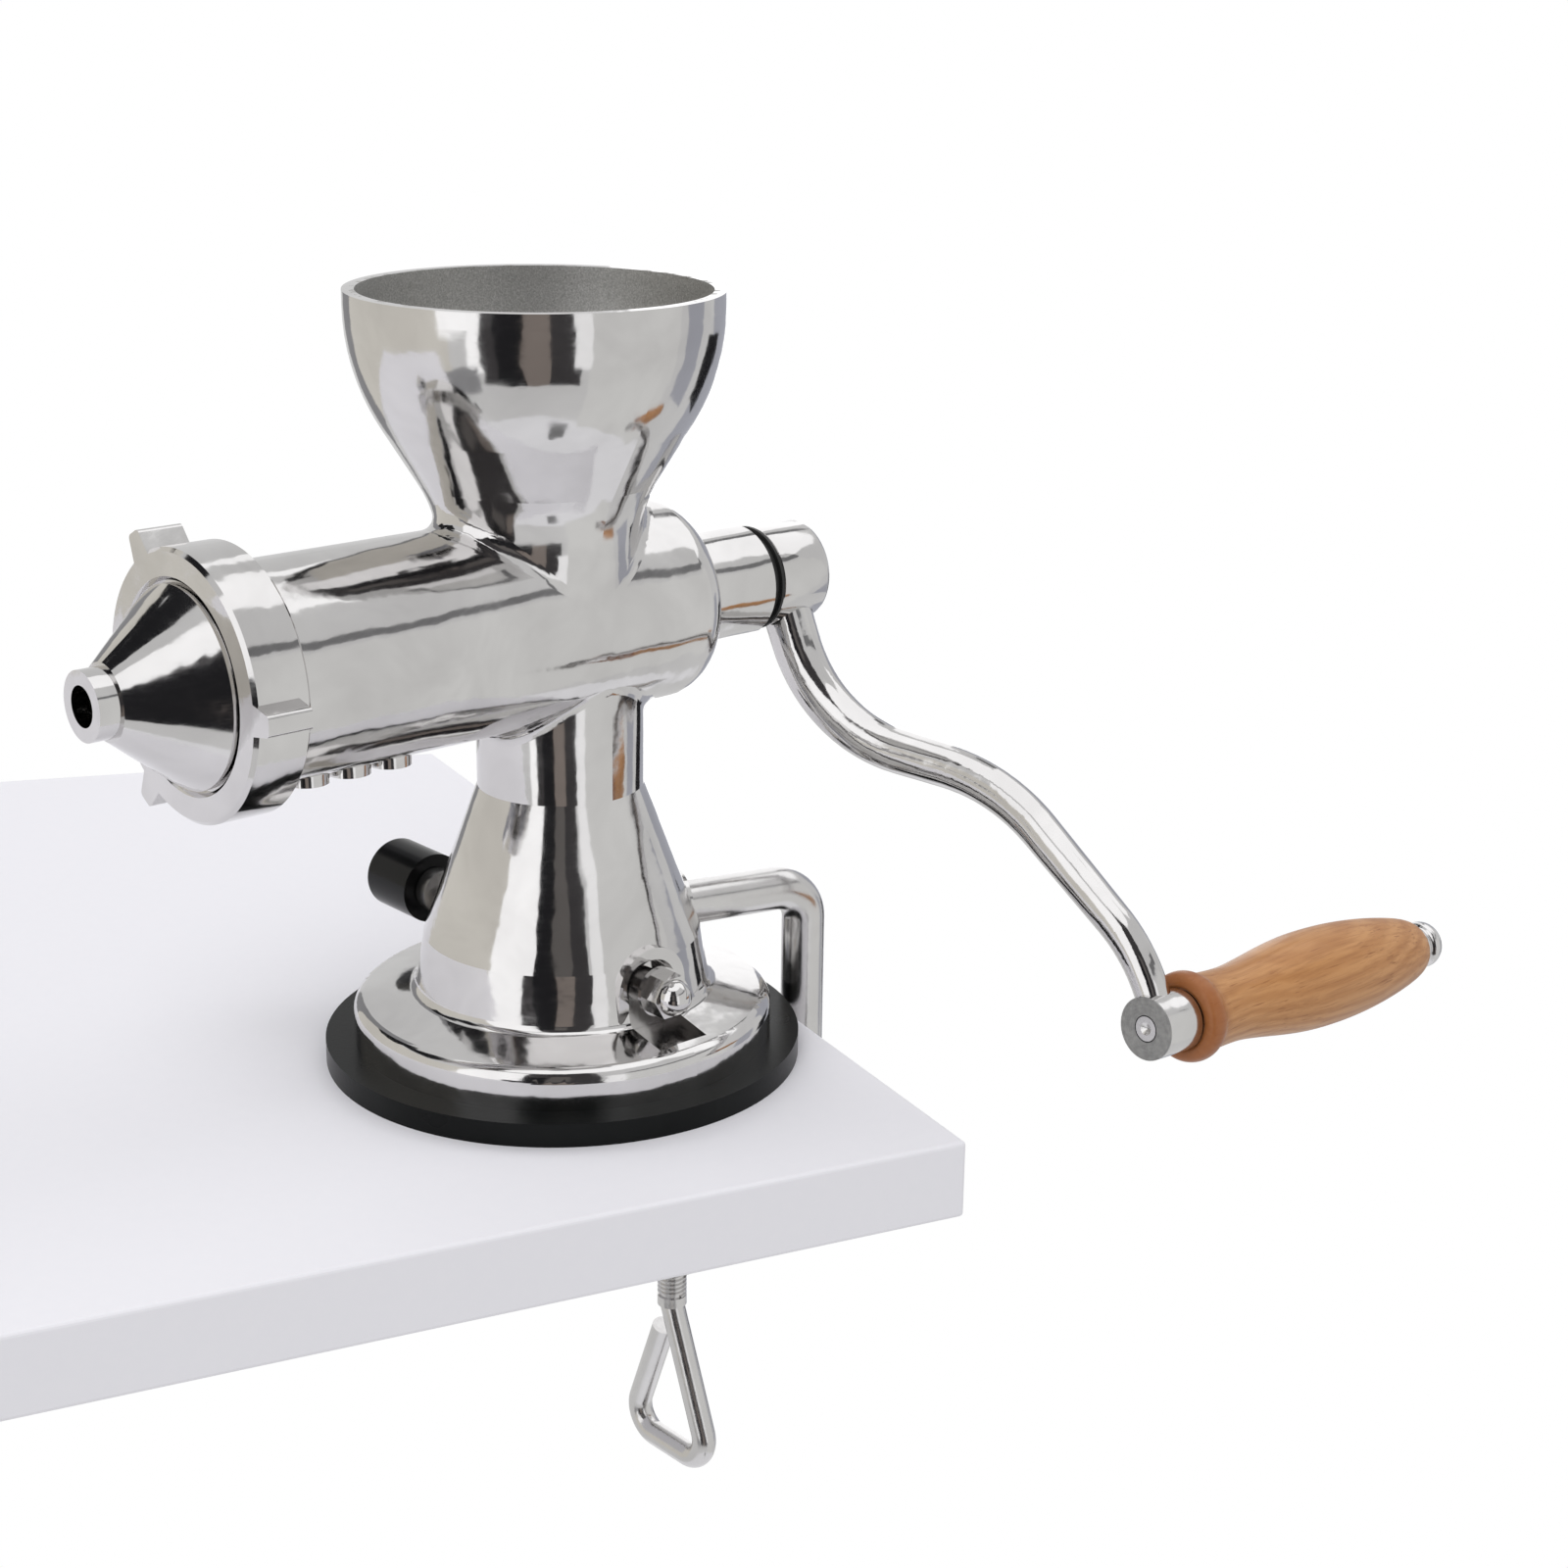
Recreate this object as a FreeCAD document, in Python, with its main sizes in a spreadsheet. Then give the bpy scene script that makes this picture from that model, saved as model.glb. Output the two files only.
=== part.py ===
import FreeCAD, Part
import math
import os

import Sketcher

# Hand cranked juicer that stands on a suction cup and is clamped to the edge of a table.
# The origin is the centre of the cup's underside. The barrel lies along Y, its outlet
# towards -Y and its crank towards +Y. The suction lever's shaft lies along X.

Vector = FreeCAD.Vector
document = FreeCAD.newDocument("juicer")

# Driving dimensions, in millimetres and degrees
dimensions = {
    # suction cup and foot
    "cup_radius": 60.7, "cup_thickness": 6.0, "cup_lip": 8.0, "cup_dome": 4.3, "cup_web": 3.4,
    "flange_radius": 53.4, "flange_wall": 9.8, "flange_round": 3.6, "flange_rise": 3.6,
    "cone_foot_radius": 37.5, "cone_skirt_radius": 35.2, "cone_skirt_rise": 14.0,
    "cone_top_radius": 20.9, "cone_top_gap": 17.2,
    "foot_fillet": 2.6, "casting_wall": 4.6, "cavity_gap": 10.5, "cavity_rise": 1.6,
    # barrel
    "axis_height": 115.2, "barrel_radius": 25.7, "barrel_front": 99.0, "barrel_rear": 35.6,
    "barrel_rear_round": 9.0, "rear_wall": 7.6, "boss_radius": 14.3, "boss_length": 23.4,
    "screen_seat_radius": 21.0, "screen_seat_rear": 36.0, "feed_clearance": 0.6,
    "stem_fillet": 4.0,
    # hopper
    "hopper_rise": 80.3, "hopper_offset": 5.8, "hopper_radius": 45.3, "hopper_wall": 3.0,
    "rim_land": 4.0, "bowl_arc": 54.3, "bowl_slope": 31.7, "bowl_end_radius": 29.1,
    "neck_arc": 32.9, "throat_radius": 17.0,
    # juice spouts below the barrel
    "spout_first": 75.0, "spout_pitch": 11.4, "spout_count": 3, "spout_length": 10.4,
    "spout_width": 15.0, "spout_proud": 1.7, "spout_slot_length": 6.4, "spout_slot_width": 10.6,
    # rear bush, washers, seal
    "shaft_radius": 6.0, "shaft_running": 0.06, "bush_radius": 9.0, "bush_seat": 0.05,
    "thrust_washer_radius": 12.0, "thrust_washer_thickness": 4.0, "thrust_groove": 0.8,
    "inner_washer_radius": 14.0, "inner_washer_thickness": 2.0,
    # auger and screen
    "flight_clearance": 0.5, "flight_pitch": 17.0, "flight_root": 5.2, "flight_tip": 2.4,
    "core_rear_radius": 8.5, "core_front_radius": 14.2, "nose_radius": 4.0, "nose_length": 13.0,
    "auger_end_gap": 0.4, "tail_radius": 5.0, "tail_clearance": 0.15, "tail_depth": 11.0,
    "screen_wall": 2.1, "screen_clearance": 0.2, "screen_slots": 10, "screen_slot_width": 2.6,
    "screen_slot_length": 42.0,
    # outlet cone and ring nut
    "gasket_thickness": 1.5, "outlet_flange": 2.5, "outlet_flange_radius": 25.4,
    "outlet_root_radius": 23.4, "outlet_shoulder": 2.6, "outlet_wall": 2.8,
    "nozzle_tip": 129.0, "nozzle_length": 5.3, "nozzle_radius": 8.07, "nozzle_bore": 4.74,
    "nozzle_bore_length": 8.0, "nozzle_land": 0.9,
    "ring_radius": 31.3, "ring_lip": 2.0, "ring_overhang": 8.3, "ring_opening": 24.0,
    "thread_clearance": 0.3, "ring_edge": 0.9, "lug_count": 3, "lug_width": 4.6,
    "lug_foot": 8.6, "lug_height": 5.2, "lug_depth": 11.0, "lug_angle": 118.5, "lug_round": 1.2,
    # crank
    "hub_radius": 11.9, "hub_length": 17.0, "hub_gap": 0.2, "hub_round": 2.0,
    "arm_offset": 14.0, "arm_root_radius": 6.7, "arm_tip_radius": 4.3,
    "arm_first_out": 18.7, "arm_first_drop": 38.4, "arm_second_out": 70.6,
    "arm_second_drop": 43.5, "arm_third_out": 118.6, "arm_third_drop": 74.6,
    "arm_first_bend": 42.0, "arm_second_bend": 60.0, "arm_third_bend": 38.0,
    "knuckle_out": 127.2, "knuckle_drop": 91.2, "knuckle_radius": 7.9, "knuckle_length": 12.0,
    "spindle_radius": 3.1, "spindle_running": 0.09, "rivet_dimple": 1.6,
    "grip_dip": 3.2, "grip_length": 100.0, "grip_gap": 0.4, "grip_bead_radius": 11.6, "grip_bead_length": 5.0,
    "grip_bead_foot": 10.3,
    "grip_neck_radius": 9.1, "grip_neck_at": 16.0, "grip_belly_radius": 12.9,
    "grip_belly_at": 58.0, "grip_end_radius": 9.4, "grip_end_round": 3.0,
    "grip_cap_rim": 2.3, "grip_cap_washer": 1.5, "grip_cap_cover": 1.5,
    "grip_cap_length": 3.8, "grip_cap_round": 1.4,
    # suction lever
    "cam_height": 27.5, "cam_shaft_radius": 6.0, "cam_running": 0.08, "journal_radius": 4.6,
    "journal_half_length": 7.0, "journal_offset": 1.25, "journal_angle": 58.0,
    "far_shaft_radius": 3.1, "lever_face": 38.7, "lever_thickness": 3.8, "lever_width": 11.6,
    "lever_forward": 10.0, "lever_rise": 6.4, "knob_radius": 9.25, "knob_length": 18.0,
    "knob_round": 1.4, "knob_gap": 0.4, "knob_pin_radius": 2.8, "knob_pin_length": 14.0,
    "recess_floor": 31.6, "recess_radius": 7.4, "recess_bottom": 15.4, "recess_reach": 48.2,
    "recess_wall": 3.0,
    "spacer_radius": 4.4, "spacer_length": 6.6, "cam_washer_radius": 6.3,
    "cam_washer_thickness": 1.2, "nut_flats": 10.0, "nut_thickness": 4.8, "nut_dome_radius": 4.6,
    "nut_seat": 0.1, "shaft_end": 46.0,
    # stud that pulls the cup
    "stud_radius": 4.0, "stud_head_radius": 8.0, "stud_head_height": 2.5,
    "stud_head_thickness": 1.5, "stud_plate_radius": 15.0, "stud_plate_thickness": 1.6,
    "stud_clearance": 0.3, "eye_radius": 8.4, "eye_thickness": 9.0, "eye_clearance": 0.3,
    # table clamp
    "clamp_angle": 15.0, "clamp_rod_radius": 5.7, "clamp_arm_height": 34.2,
    "clamp_reach": 69.4, "clamp_bend": 9.0, "clamp_socket_start": 14.0,
    "clamp_socket_radius": 9.4, "clamp_socket_clearance": 0.3, "clamp_rod_start": 15.5,
    "clamp_lower": 65.0, "clamp_rod_end": 38.5, "clamp_screw_reach": 31.0,
    "clamp_boss_radius": 9.2, "clamp_boss_height": 8.0, "screw_radius": 4.0,
    "screw_clearance": 0.15, "screw_length": 59.0, "pad_gap": 20.0, "pad_radius": 13.0,
    "pad_thickness": 3.0, "pad_skirt_radius": 6.6, "pad_skirt": 2.8, "pad_floor": 2.6,
    "pad_edge": 0.8,
    "loop_rod_radius": 3.3, "loop_half_width": 17.0, "loop_height": 44.0, "loop_bend": 7.0,
    "loop_end_gap": 8.5,
}

sheet = document.addObject("Spreadsheet::Sheet", "Sizes")
for row, (alias, number) in enumerate(dimensions.items(), start=1):
    sheet.set(f"A{row}", alias)
    sheet.set(f"B{row}", str(number))
    sheet.setAlias(f"B{row}", alias)
document.recompute()


class Size:
    """A length or angle that carries its number and the sheet expression it comes from."""

    def __init__(self, number, text):
        self.number = float(number)
        self.text = text

    def __add__(self, other):
        other = as_size(other)
        return Size(self.number + other.number, f"({self.text} + {other.text})")

    def __sub__(self, other):
        other = as_size(other)
        return Size(self.number - other.number, f"({self.text} - {other.text})")

    def __mul__(self, other):
        other = as_size(other)
        return Size(self.number * other.number, f"({self.text} * {other.text})")

    def __truediv__(self, other):
        other = as_size(other)
        return Size(self.number / other.number, f"({self.text} / {other.text})")

    def __neg__(self):
        return Size(-self.number, f"(0 - {self.text})")

    __radd__ = __add__
    __rmul__ = __mul__

    def __rsub__(self, other):
        return as_size(other) - self


def as_size(entry):
    return entry if isinstance(entry, Size) else Size(entry, str(entry))


def sine(angle):
    angle = as_size(angle)
    return Size(math.sin(math.radians(angle.number)), f"sin({angle.text} * 1 deg)")


def cosine(angle):
    angle = as_size(angle)
    return Size(math.cos(math.radians(angle.number)), f"cos({angle.text} * 1 deg)")


def tangent(angle):
    return sine(angle) / cosine(angle)


def slope_angle(rise, run):
    angle = math.degrees(math.atan2(rise.number, run.number))
    return Size(angle, f"(atan({rise.text} / {run.text}) / 1 deg)")


class Sheet:
    """Gives each driving dimension of the sheet as a Size, by its alias."""

    def __getattr__(self, alias):
        return Size(sheet.get(alias), "Sizes." + alias)


size = Sheet()
zero = as_size(0)
parts = []

# How near two places count as the same, and how many points are read along an edge
same_place = 0.02
curve_samples = 7


# Helpers that draw sketches and features with every size bound to the sheet

def new_body(label):
    body = document.addObject("PartDesign::Body", label)
    body.Label = label
    parts.append(body)
    return body


def new_sketch(body, name, role, shift=(zero, zero, zero), turn=None):
    # shift moves the sketch in its plane's own axes; turn swings it about the vertical
    plane = next(item for item in body.Origin.OriginFeatures if item.Role == role)
    sketch = body.newObject("Sketcher::SketchObject", name)
    sketch.AttachmentSupport = [(plane, "")]
    sketch.MapMode = "FlatFace"
    base = Vector(*(as_size(part).number for part in shift))
    angle = turn.number if turn else 0
    sketch.AttachmentOffset = FreeCAD.Placement(base, FreeCAD.Rotation(Vector(0, 1, 0), angle))
    for axis, part in zip("xyz", shift):
        sketch.setExpression("AttachmentOffset.Base." + axis, as_size(part).text)
    if turn:
        sketch.setExpression("AttachmentOffset.Rotation.Angle", turn.text)
    return sketch


def pin_point(sketch, geometry, corner, place, name):
    # Ties one point of the sketch to its two sizes, measured from the sketch's origin
    for kind, axis_geometry, part in (("DistanceX", -2, place[0]), ("DistanceY", -1, place[1])):
        if part.text == "0":
            sketch.addConstraint(Sketcher.Constraint("PointOnObject", geometry, corner, axis_geometry))
            continue
        held = Sketcher.Constraint(kind, -1, 1, geometry, corner, part.number)
        index = sketch.addConstraint(held)
        label = f"{name}_{kind[-1].lower()}"
        sketch.renameConstraint(index, label)
        sketch.setExpression("Constraints." + label, part.text)


def draw_outline(sketch, steps, closed=True):
    # A step of two sizes is a straight run to that point, one of four an arc through the
    # first point to the second
    steps = [tuple(as_size(part) for part in step) for step in steps]
    ends = [step[-2:] for step in steps]
    meets_start = [part.text for part in ends[-1]] == [part.text for part in ends[0]]
    runs = list(range(1, len(steps))) + ([0] if closed and not meets_start else [])
    last_end = None
    first_start = None
    for index in runs:
        start, end, step = ends[index - 1], ends[index], steps[index]
        here = Vector(start[0].number, start[1].number, 0)
        there = Vector(end[0].number, end[1].number, 0)
        if len(step) == 2 or index == 0:
            run = sketch.addGeometry(Part.LineSegment(here, there), False)
            first, second = 1, 2
        else:
            between = Vector(step[0].number, step[1].number, 0)
            run = sketch.addGeometry(Part.Arc(here, between, there), False)
            first, second = (1, 2) if sketch.getPoint(run, 1).distanceToPoint(here) < same_place else (2, 1)
            middle = sketch.addGeometry(Part.Point(between), True)
            pin_point(sketch, middle, 1, step[:2], f"bulge{index}")
            sketch.addConstraint(Sketcher.Constraint("PointOnObject", middle, 1, run))
        if last_end is None:
            first_start = (run, first)
            pin_point(sketch, run, first, start, "start")
        else:
            sketch.addConstraint(Sketcher.Constraint("Coincident", *last_end, run, first))
        if closed and index == runs[-1]:
            sketch.addConstraint(Sketcher.Constraint("Coincident", run, second, *first_start))
        else:
            pin_point(sketch, run, second, end, f"corner{index}")
        last_end = (run, second)
    return sketch


def draw_circle(sketch, radius, centre=(zero, zero), name="round"):
    radius = as_size(radius)
    centre = tuple(as_size(part) for part in centre)
    middle = Vector(centre[0].number, centre[1].number, 0)
    ring = sketch.addGeometry(Part.Circle(middle, Vector(0, 0, 1), radius.number), False)
    index = sketch.addConstraint(Sketcher.Constraint("Radius", ring, radius.number))
    sketch.renameConstraint(index, name + "_radius")
    sketch.setExpression("Constraints." + name + "_radius", radius.text)
    pin_point(sketch, ring, 3, centre, name)
    return sketch


def revolve(body, name, sketch, axis, cut=False):
    kind = "PartDesign::Groove" if cut else "PartDesign::Revolution"
    feature = body.newObject(kind, name)
    feature.Profile = sketch
    feature.ReferenceAxis = (sketch, [axis])
    feature.Angle = 360
    return feature


def extrude(body, name, sketch, length, cut=False, reverse=False, both=False):
    feature = body.newObject("PartDesign::Pocket" if cut else "PartDesign::Pad", name)
    feature.Profile = sketch
    feature.Length = as_size(length).number
    feature.setExpression("Length", as_size(length).text)
    feature.Reversed = reverse
    feature.Midplane = both
    return feature


def round_edges(body, name, base, chosen, radius, kind="Fillet"):
    # chosen(edge) says which edges of the base take the fillet or chamfer
    document.recompute()
    names = [f"Edge{n}" for n, edge in enumerate(base.Shape.Edges, start=1) if chosen(edge)]
    if not names:
        raise RuntimeError(f"{body.Label}: no edge found for {name}")
    feature = body.newObject("PartDesign::" + kind, name)
    feature.Base = (base, names)
    prop = "Radius" if kind == "Fillet" else "Size"
    setattr(feature, prop, radius.number)
    feature.setExpression(prop, radius.text)
    return feature


def rounded_corner(corner, heading_in, heading_out, radius):
    # Steps that round a corner of an outline with an arc. Headings are in degrees, and the
    # radius is negative where the outline turns right.
    half = (as_size(heading_out) - heading_in) / 2
    reach = radius * tangent(half)
    sag = radius / cosine(half) - radius
    inward = half + heading_in + 90
    start = (corner[0] - reach * cosine(heading_in), corner[1] - reach * sine(heading_in))
    middle = (corner[0] + sag * cosine(inward), corner[1] + sag * sine(inward))
    end = (corner[0] + reach * cosine(heading_out), corner[1] + reach * sine(heading_out))
    return [start, middle + end]


def turned(label, role, axis, steps, shift=(zero, zero, zero)):
    # A turned piece: one outline spun about an axis
    body = new_body(label)
    sketch = draw_outline(new_sketch(body, label + "_outline", role, shift), steps)
    revolve(body, label + "_turn", sketch, axis)
    return body


def on_barrel_axis(label, steps):
    return turned(label, "YZ_Plane", "H_Axis", steps, (zero, size.axis_height, zero))


# Places that several pieces share
cup_top = size.cup_thickness
flange_top = cup_top + size.flange_wall
foot_height = flange_top + size.flange_rise
skirt_height = foot_height + size.cone_skirt_rise
cone_top_height = size.axis_height - size.barrel_radius - size.cone_top_gap
cavity_height = size.axis_height - size.barrel_radius - size.cavity_gap
rim_height = size.axis_height + size.hopper_rise
screen_outer = size.screen_seat_radius - size.screen_clearance
screen_inner = screen_outer - size.screen_wall
flight_radius = screen_inner - size.flight_clearance
feed_bore_radius = flight_radius + size.feed_clearance
boss_end = size.barrel_rear + size.boss_length
bore_end = size.barrel_rear - size.rear_wall
gasket_front = size.barrel_front + size.gasket_thickness
flange_front = gasket_front + size.outlet_flange
ring_front = flange_front + size.ring_lip
ring_rear = size.barrel_front - size.ring_overhang
hub_front = boss_end + size.thrust_washer_thickness + size.hub_gap
hub_rear = hub_front + size.hub_length
arm_plane = hub_front + size.hub_length / 2
knuckle_plane = arm_plane + size.arm_offset
knuckle_front = knuckle_plane - size.knuckle_length / 2
knuckle_rear = knuckle_plane + size.knuckle_length / 2
knuckle_height = size.axis_height - size.knuckle_drop
grip_start = knuckle_rear + size.grip_gap
grip_end = grip_start + size.grip_length
grip_cap_radius = size.spindle_radius + size.grip_cap_rim
grip_cap_head = size.spindle_radius + size.grip_cap_cover
web_top = size.cup_dome + size.cup_web
socket_face = (sine(size.clamp_angle), cosine(size.clamp_angle))


def along_clamp(reach):
    return reach * socket_face[0], reach * socket_face[1]


def socket_sketch(body, name, reach, height):
    # A sketch square to the clamp's arm, at a distance from the pedestal's axis
    side, rear = along_clamp(reach)
    return new_sketch(body, name, "XZ_Plane", (side, height, -rear), -size.clamp_angle)


# Cast body: foot, pedestal, barrel and hopper in one piece

def make_casting():
    body = new_body("juicer_body")
    across = 180 - slope_angle(size.flange_rise, size.flange_radius - size.cone_foot_radius)
    up = 180 - slope_angle(size.cone_skirt_rise, size.cone_foot_radius - size.cone_skirt_radius)
    pedestal = draw_outline(new_sketch(body, "pedestal_outline", "XZ_Plane"), [
        (zero, cup_top), (size.flange_radius, cup_top),
        *rounded_corner((size.flange_radius, flange_top), 90, across, size.flange_round),
        *rounded_corner((size.cone_foot_radius, foot_height), across, up, -size.foot_fillet),
        (size.cone_skirt_radius, skirt_height),
        (size.cone_top_radius, cone_top_height),
        (size.cone_top_radius, size.axis_height), (zero, size.axis_height)])
    revolve(body, "pedestal", pedestal, "V_Axis")

    barrel = draw_outline(new_sketch(body, "barrel_outline", "YZ_Plane", (0, size.axis_height, 0)), [
        (-size.barrel_front, zero), (-size.barrel_front, size.barrel_radius),
        *rounded_corner((size.barrel_rear, size.barrel_radius), 0, -90, -size.barrel_rear_round),
        (size.barrel_rear, size.boss_radius), (boss_end, size.boss_radius), (boss_end, zero)])
    revolve(body, "barrel", barrel, "H_Axis")

    # The bowl is an arc that runs tangent into a sloping wall and then into the neck's arc
    slope = size.bowl_slope
    bowl_level = rim_height - size.rim_land
    bowl_centre = size.hopper_radius - size.bowl_arc
    wall_top = (bowl_centre + size.bowl_arc * cosine(slope), bowl_level - size.bowl_arc * sine(slope))
    neck_top_height = wall_top[1] - (wall_top[0] - size.bowl_end_radius) / tangent(slope)
    neck_radius = size.bowl_end_radius - size.neck_arc * (1 - cosine(slope))
    neck_height = neck_top_height - size.neck_arc * sine(slope)

    def bowl_point(radius, angle):
        return bowl_centre + radius * cosine(angle), bowl_level - radius * sine(angle)

    hopper = draw_outline(new_sketch(body, "hopper_outline", "XZ_Plane", (0, 0, size.hopper_offset)), [
        (zero, size.axis_height), (neck_radius, size.axis_height), (neck_radius, neck_height),
        (neck_radius + size.neck_arc * (1 - cosine(slope / 2)),
         neck_height + size.neck_arc * sine(slope / 2), size.bowl_end_radius, neck_top_height),
        wall_top, bowl_point(size.bowl_arc, slope / 2) + (size.hopper_radius, bowl_level),
        (size.hopper_radius, rim_height), (zero, rim_height)])
    hopper_form = revolve(body, "hopper", hopper, "V_Axis")
    document.recompute()

    def joins_barrel(edge):
        # The curves where the neck and the pedestal run into the barrel's side
        points = edge.discretize(curve_samples)
        side = [math.hypot(p.x, p.z - size.axis_height.number) for p in points]
        spread = min(max(p.x for p in points) - min(p.x for p in points),
                     max(p.y for p in points) - min(p.y for p in points))
        return (all(abs(r - size.barrel_radius.number) < same_place for r in side)
                and spread > size.stem_fillet.number)

    round_edges(body, "barrel_fillet", hopper_form, joins_barrel, size.stem_fillet)

    # Raised spouts below the barrel, then the slots through them
    spout_level = size.axis_height - size.barrel_radius - size.spout_proud
    pad_sketch = draw_outline(new_sketch(body, "spout_outline", "XY_Plane", (0, 0, spout_level)),
                              slot_steps(size.spout_width, size.spout_length, -size.spout_first))
    spout = extrude(body, "spout", pad_sketch, size.spout_proud + size.barrel_radius)
    repeat_along_barrel(body, "spouts", spout, pad_sketch)

    barrel_bore = draw_outline(new_sketch(body, "bore_outline", "YZ_Plane", (0, size.axis_height, 0)), [
        (-size.barrel_front, zero), (-size.barrel_front, size.screen_seat_radius),
        (-size.screen_seat_rear, size.screen_seat_radius),
        (-size.screen_seat_rear, feed_bore_radius), (bore_end, feed_bore_radius),
        (bore_end, size.bush_radius + size.bush_seat), (boss_end, size.bush_radius + size.bush_seat),
        (boss_end, zero)])
    revolve(body, "barrel_bore", barrel_bore, "H_Axis", cut=True)

    inner_arc = size.bowl_arc - size.hopper_wall
    inner_rim = size.hopper_radius - size.hopper_wall
    inner_top = bowl_point(inner_arc, slope)
    throat_height = inner_top[1] - (inner_top[0] - size.throat_radius) / tangent(slope)
    bowl = draw_outline(new_sketch(body, "bowl_outline", "XZ_Plane", (0, 0, size.hopper_offset)), [
        (zero, size.axis_height), (size.throat_radius, size.axis_height),
        (size.throat_radius, throat_height), inner_top,
        bowl_point(inner_arc, slope / 2) + (inner_rim, bowl_level),
        (inner_rim, rim_height), (zero, rim_height)])
    revolve(body, "bowl", bowl, "V_Axis", cut=True)

    wall = size.casting_wall
    cavity_foot = cup_top + wall
    cavity_roof = cavity_foot + size.cavity_rise
    inner_foot = size.cone_foot_radius - wall
    inner_skirt = size.cone_skirt_radius - wall
    inner_head = size.cone_top_radius - wall
    cavity = draw_outline(new_sketch(body, "cavity_outline", "XZ_Plane"), [
        (zero, cup_top), (size.flange_radius - wall, cup_top),
        (size.flange_radius - wall, cavity_foot), (inner_foot, cavity_roof), (inner_foot, foot_height),
        (inner_skirt, skirt_height), (inner_head, cone_top_height), (inner_head, cavity_height),
        (zero, cavity_height)])
    revolve(body, "cavity", cavity, "V_Axis", cut=True)

    # Socket for the clamp's arm, cast inside the rear wall, and its bore from outside
    socket = draw_circle(socket_sketch(body, "socket_outline", size.clamp_socket_start,
                                       size.clamp_arm_height), size.clamp_socket_radius)
    wall_reach = inner_skirt
    extrude(body, "socket", socket, wall_reach + wall / 2 - size.clamp_socket_start, reverse=True)
    bore = draw_circle(socket_sketch(body, "socket_bore_outline", size.clamp_socket_start,
                                     size.clamp_arm_height),
                       size.clamp_rod_radius + size.clamp_socket_clearance)
    extrude(body, "socket_bore", bore, size.cone_foot_radius, cut=True)

    # Arched block inside the wall, behind the nut's recess
    recess_radius = size.recess_radius
    block_outline = draw_outline(
        new_sketch(body, "recess_block_outline", "YZ_Plane", (0, 0, size.recess_floor)),
        arch_steps(recess_radius + size.recess_wall, cavity_roof - size.cavity_rise))
    extrude(body, "recess_block", block_outline, wall)

    # Holes for the lever's shaft, the large one on the lever's side
    near = draw_circle(new_sketch(body, "near_hole_outline", "YZ_Plane"),
                       size.cam_shaft_radius + size.cam_running, (zero, size.cam_height))
    extrude(body, "near_hole", near, size.flange_radius, cut=True)
    far = draw_circle(new_sketch(body, "far_hole_outline", "YZ_Plane"),
                      size.far_shaft_radius + size.cam_running, (zero, size.cam_height))
    extrude(body, "far_hole", far, size.flange_radius, cut=True, reverse=True)

    # Arched recess for the nut at the foot of the cone
    recess_outline = draw_outline(
        new_sketch(body, "recess_outline", "YZ_Plane", (0, 0, size.recess_floor)),
        arch_steps(recess_radius, size.recess_bottom))
    extrude(body, "recess", recess_outline, size.recess_reach - size.recess_floor, cut=True,
            reverse=True)

    # Slots through the spouts
    slot_sketch = draw_outline(new_sketch(body, "slot_outline", "XY_Plane", (0, 0, spout_level)),
                               slot_steps(size.spout_slot_width, size.spout_slot_length,
                                          -size.spout_first))
    slot = extrude(body, "slot", slot_sketch, size.spout_proud + size.barrel_radius, cut=True,
                   reverse=True)
    body.Tip = repeat_along_barrel(body, "slots", slot, slot_sketch)
    return body


def arch_steps(radius, bottom):
    # A round arch about the lever's shaft, with straight legs down to the bottom
    return [(-radius, bottom), (radius, bottom), (radius, size.cam_height),
            (zero, size.cam_height + radius, -radius, size.cam_height)]


def slot_steps(width, length, place):
    # A slot across the barrel with round ends: straight sides along X
    radius = length / 2
    side = width / 2 - radius
    return [(-side, place - radius), (side, place - radius),
            (side + radius, place, side, place + radius), (-side, place + radius),
            (-side - radius, place, -side, place - radius)]


def repeat_along_barrel(body, name, feature, sketch):
    document.recompute()
    pattern = body.newObject("PartDesign::LinearPattern", name)
    pattern.Originals = [feature]
    pattern.Direction = (sketch, ["V_Axis"])
    pattern.Length = (size.spout_pitch * (size.spout_count - 1)).number
    pattern.setExpression("Length", (size.spout_pitch * (size.spout_count - 1)).text)
    pattern.Occurrences = int(size.spout_count.number)
    pattern.setExpression("Occurrences", size.spout_count.text)
    body.Tip = pattern
    return pattern


# Pieces fixed inside and on the casting

def make_rear_bush():
    inner = size.shaft_radius + size.shaft_running
    return on_barrel_axis("rear_bush", [
        (bore_end, inner), (boss_end, inner), (boss_end, size.bush_radius),
        (bore_end, size.bush_radius)])


def make_thrust_washer():
    # A plastic washer between boss and crank, with a shallow groove round its rim
    inner = size.shaft_radius + size.thread_clearance
    outer = size.thrust_washer_radius
    third = size.thrust_washer_thickness / 3
    middle = boss_end + size.thrust_washer_thickness / 2
    return on_barrel_axis("thrust_washer", [
        (boss_end, inner), (boss_end + size.thrust_washer_thickness, inner),
        (boss_end + size.thrust_washer_thickness, outer), (boss_end + 2 * third, outer),
        (middle, outer - size.thrust_groove, boss_end + third, outer), (boss_end, outer)])


def make_inner_washer():
    inner = size.shaft_radius + size.thread_clearance
    front = bore_end - size.inner_washer_thickness
    return on_barrel_axis("inner_washer", [
        (front, inner), (bore_end, inner), (bore_end, size.inner_washer_radius),
        (front, size.inner_washer_radius)])


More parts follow.
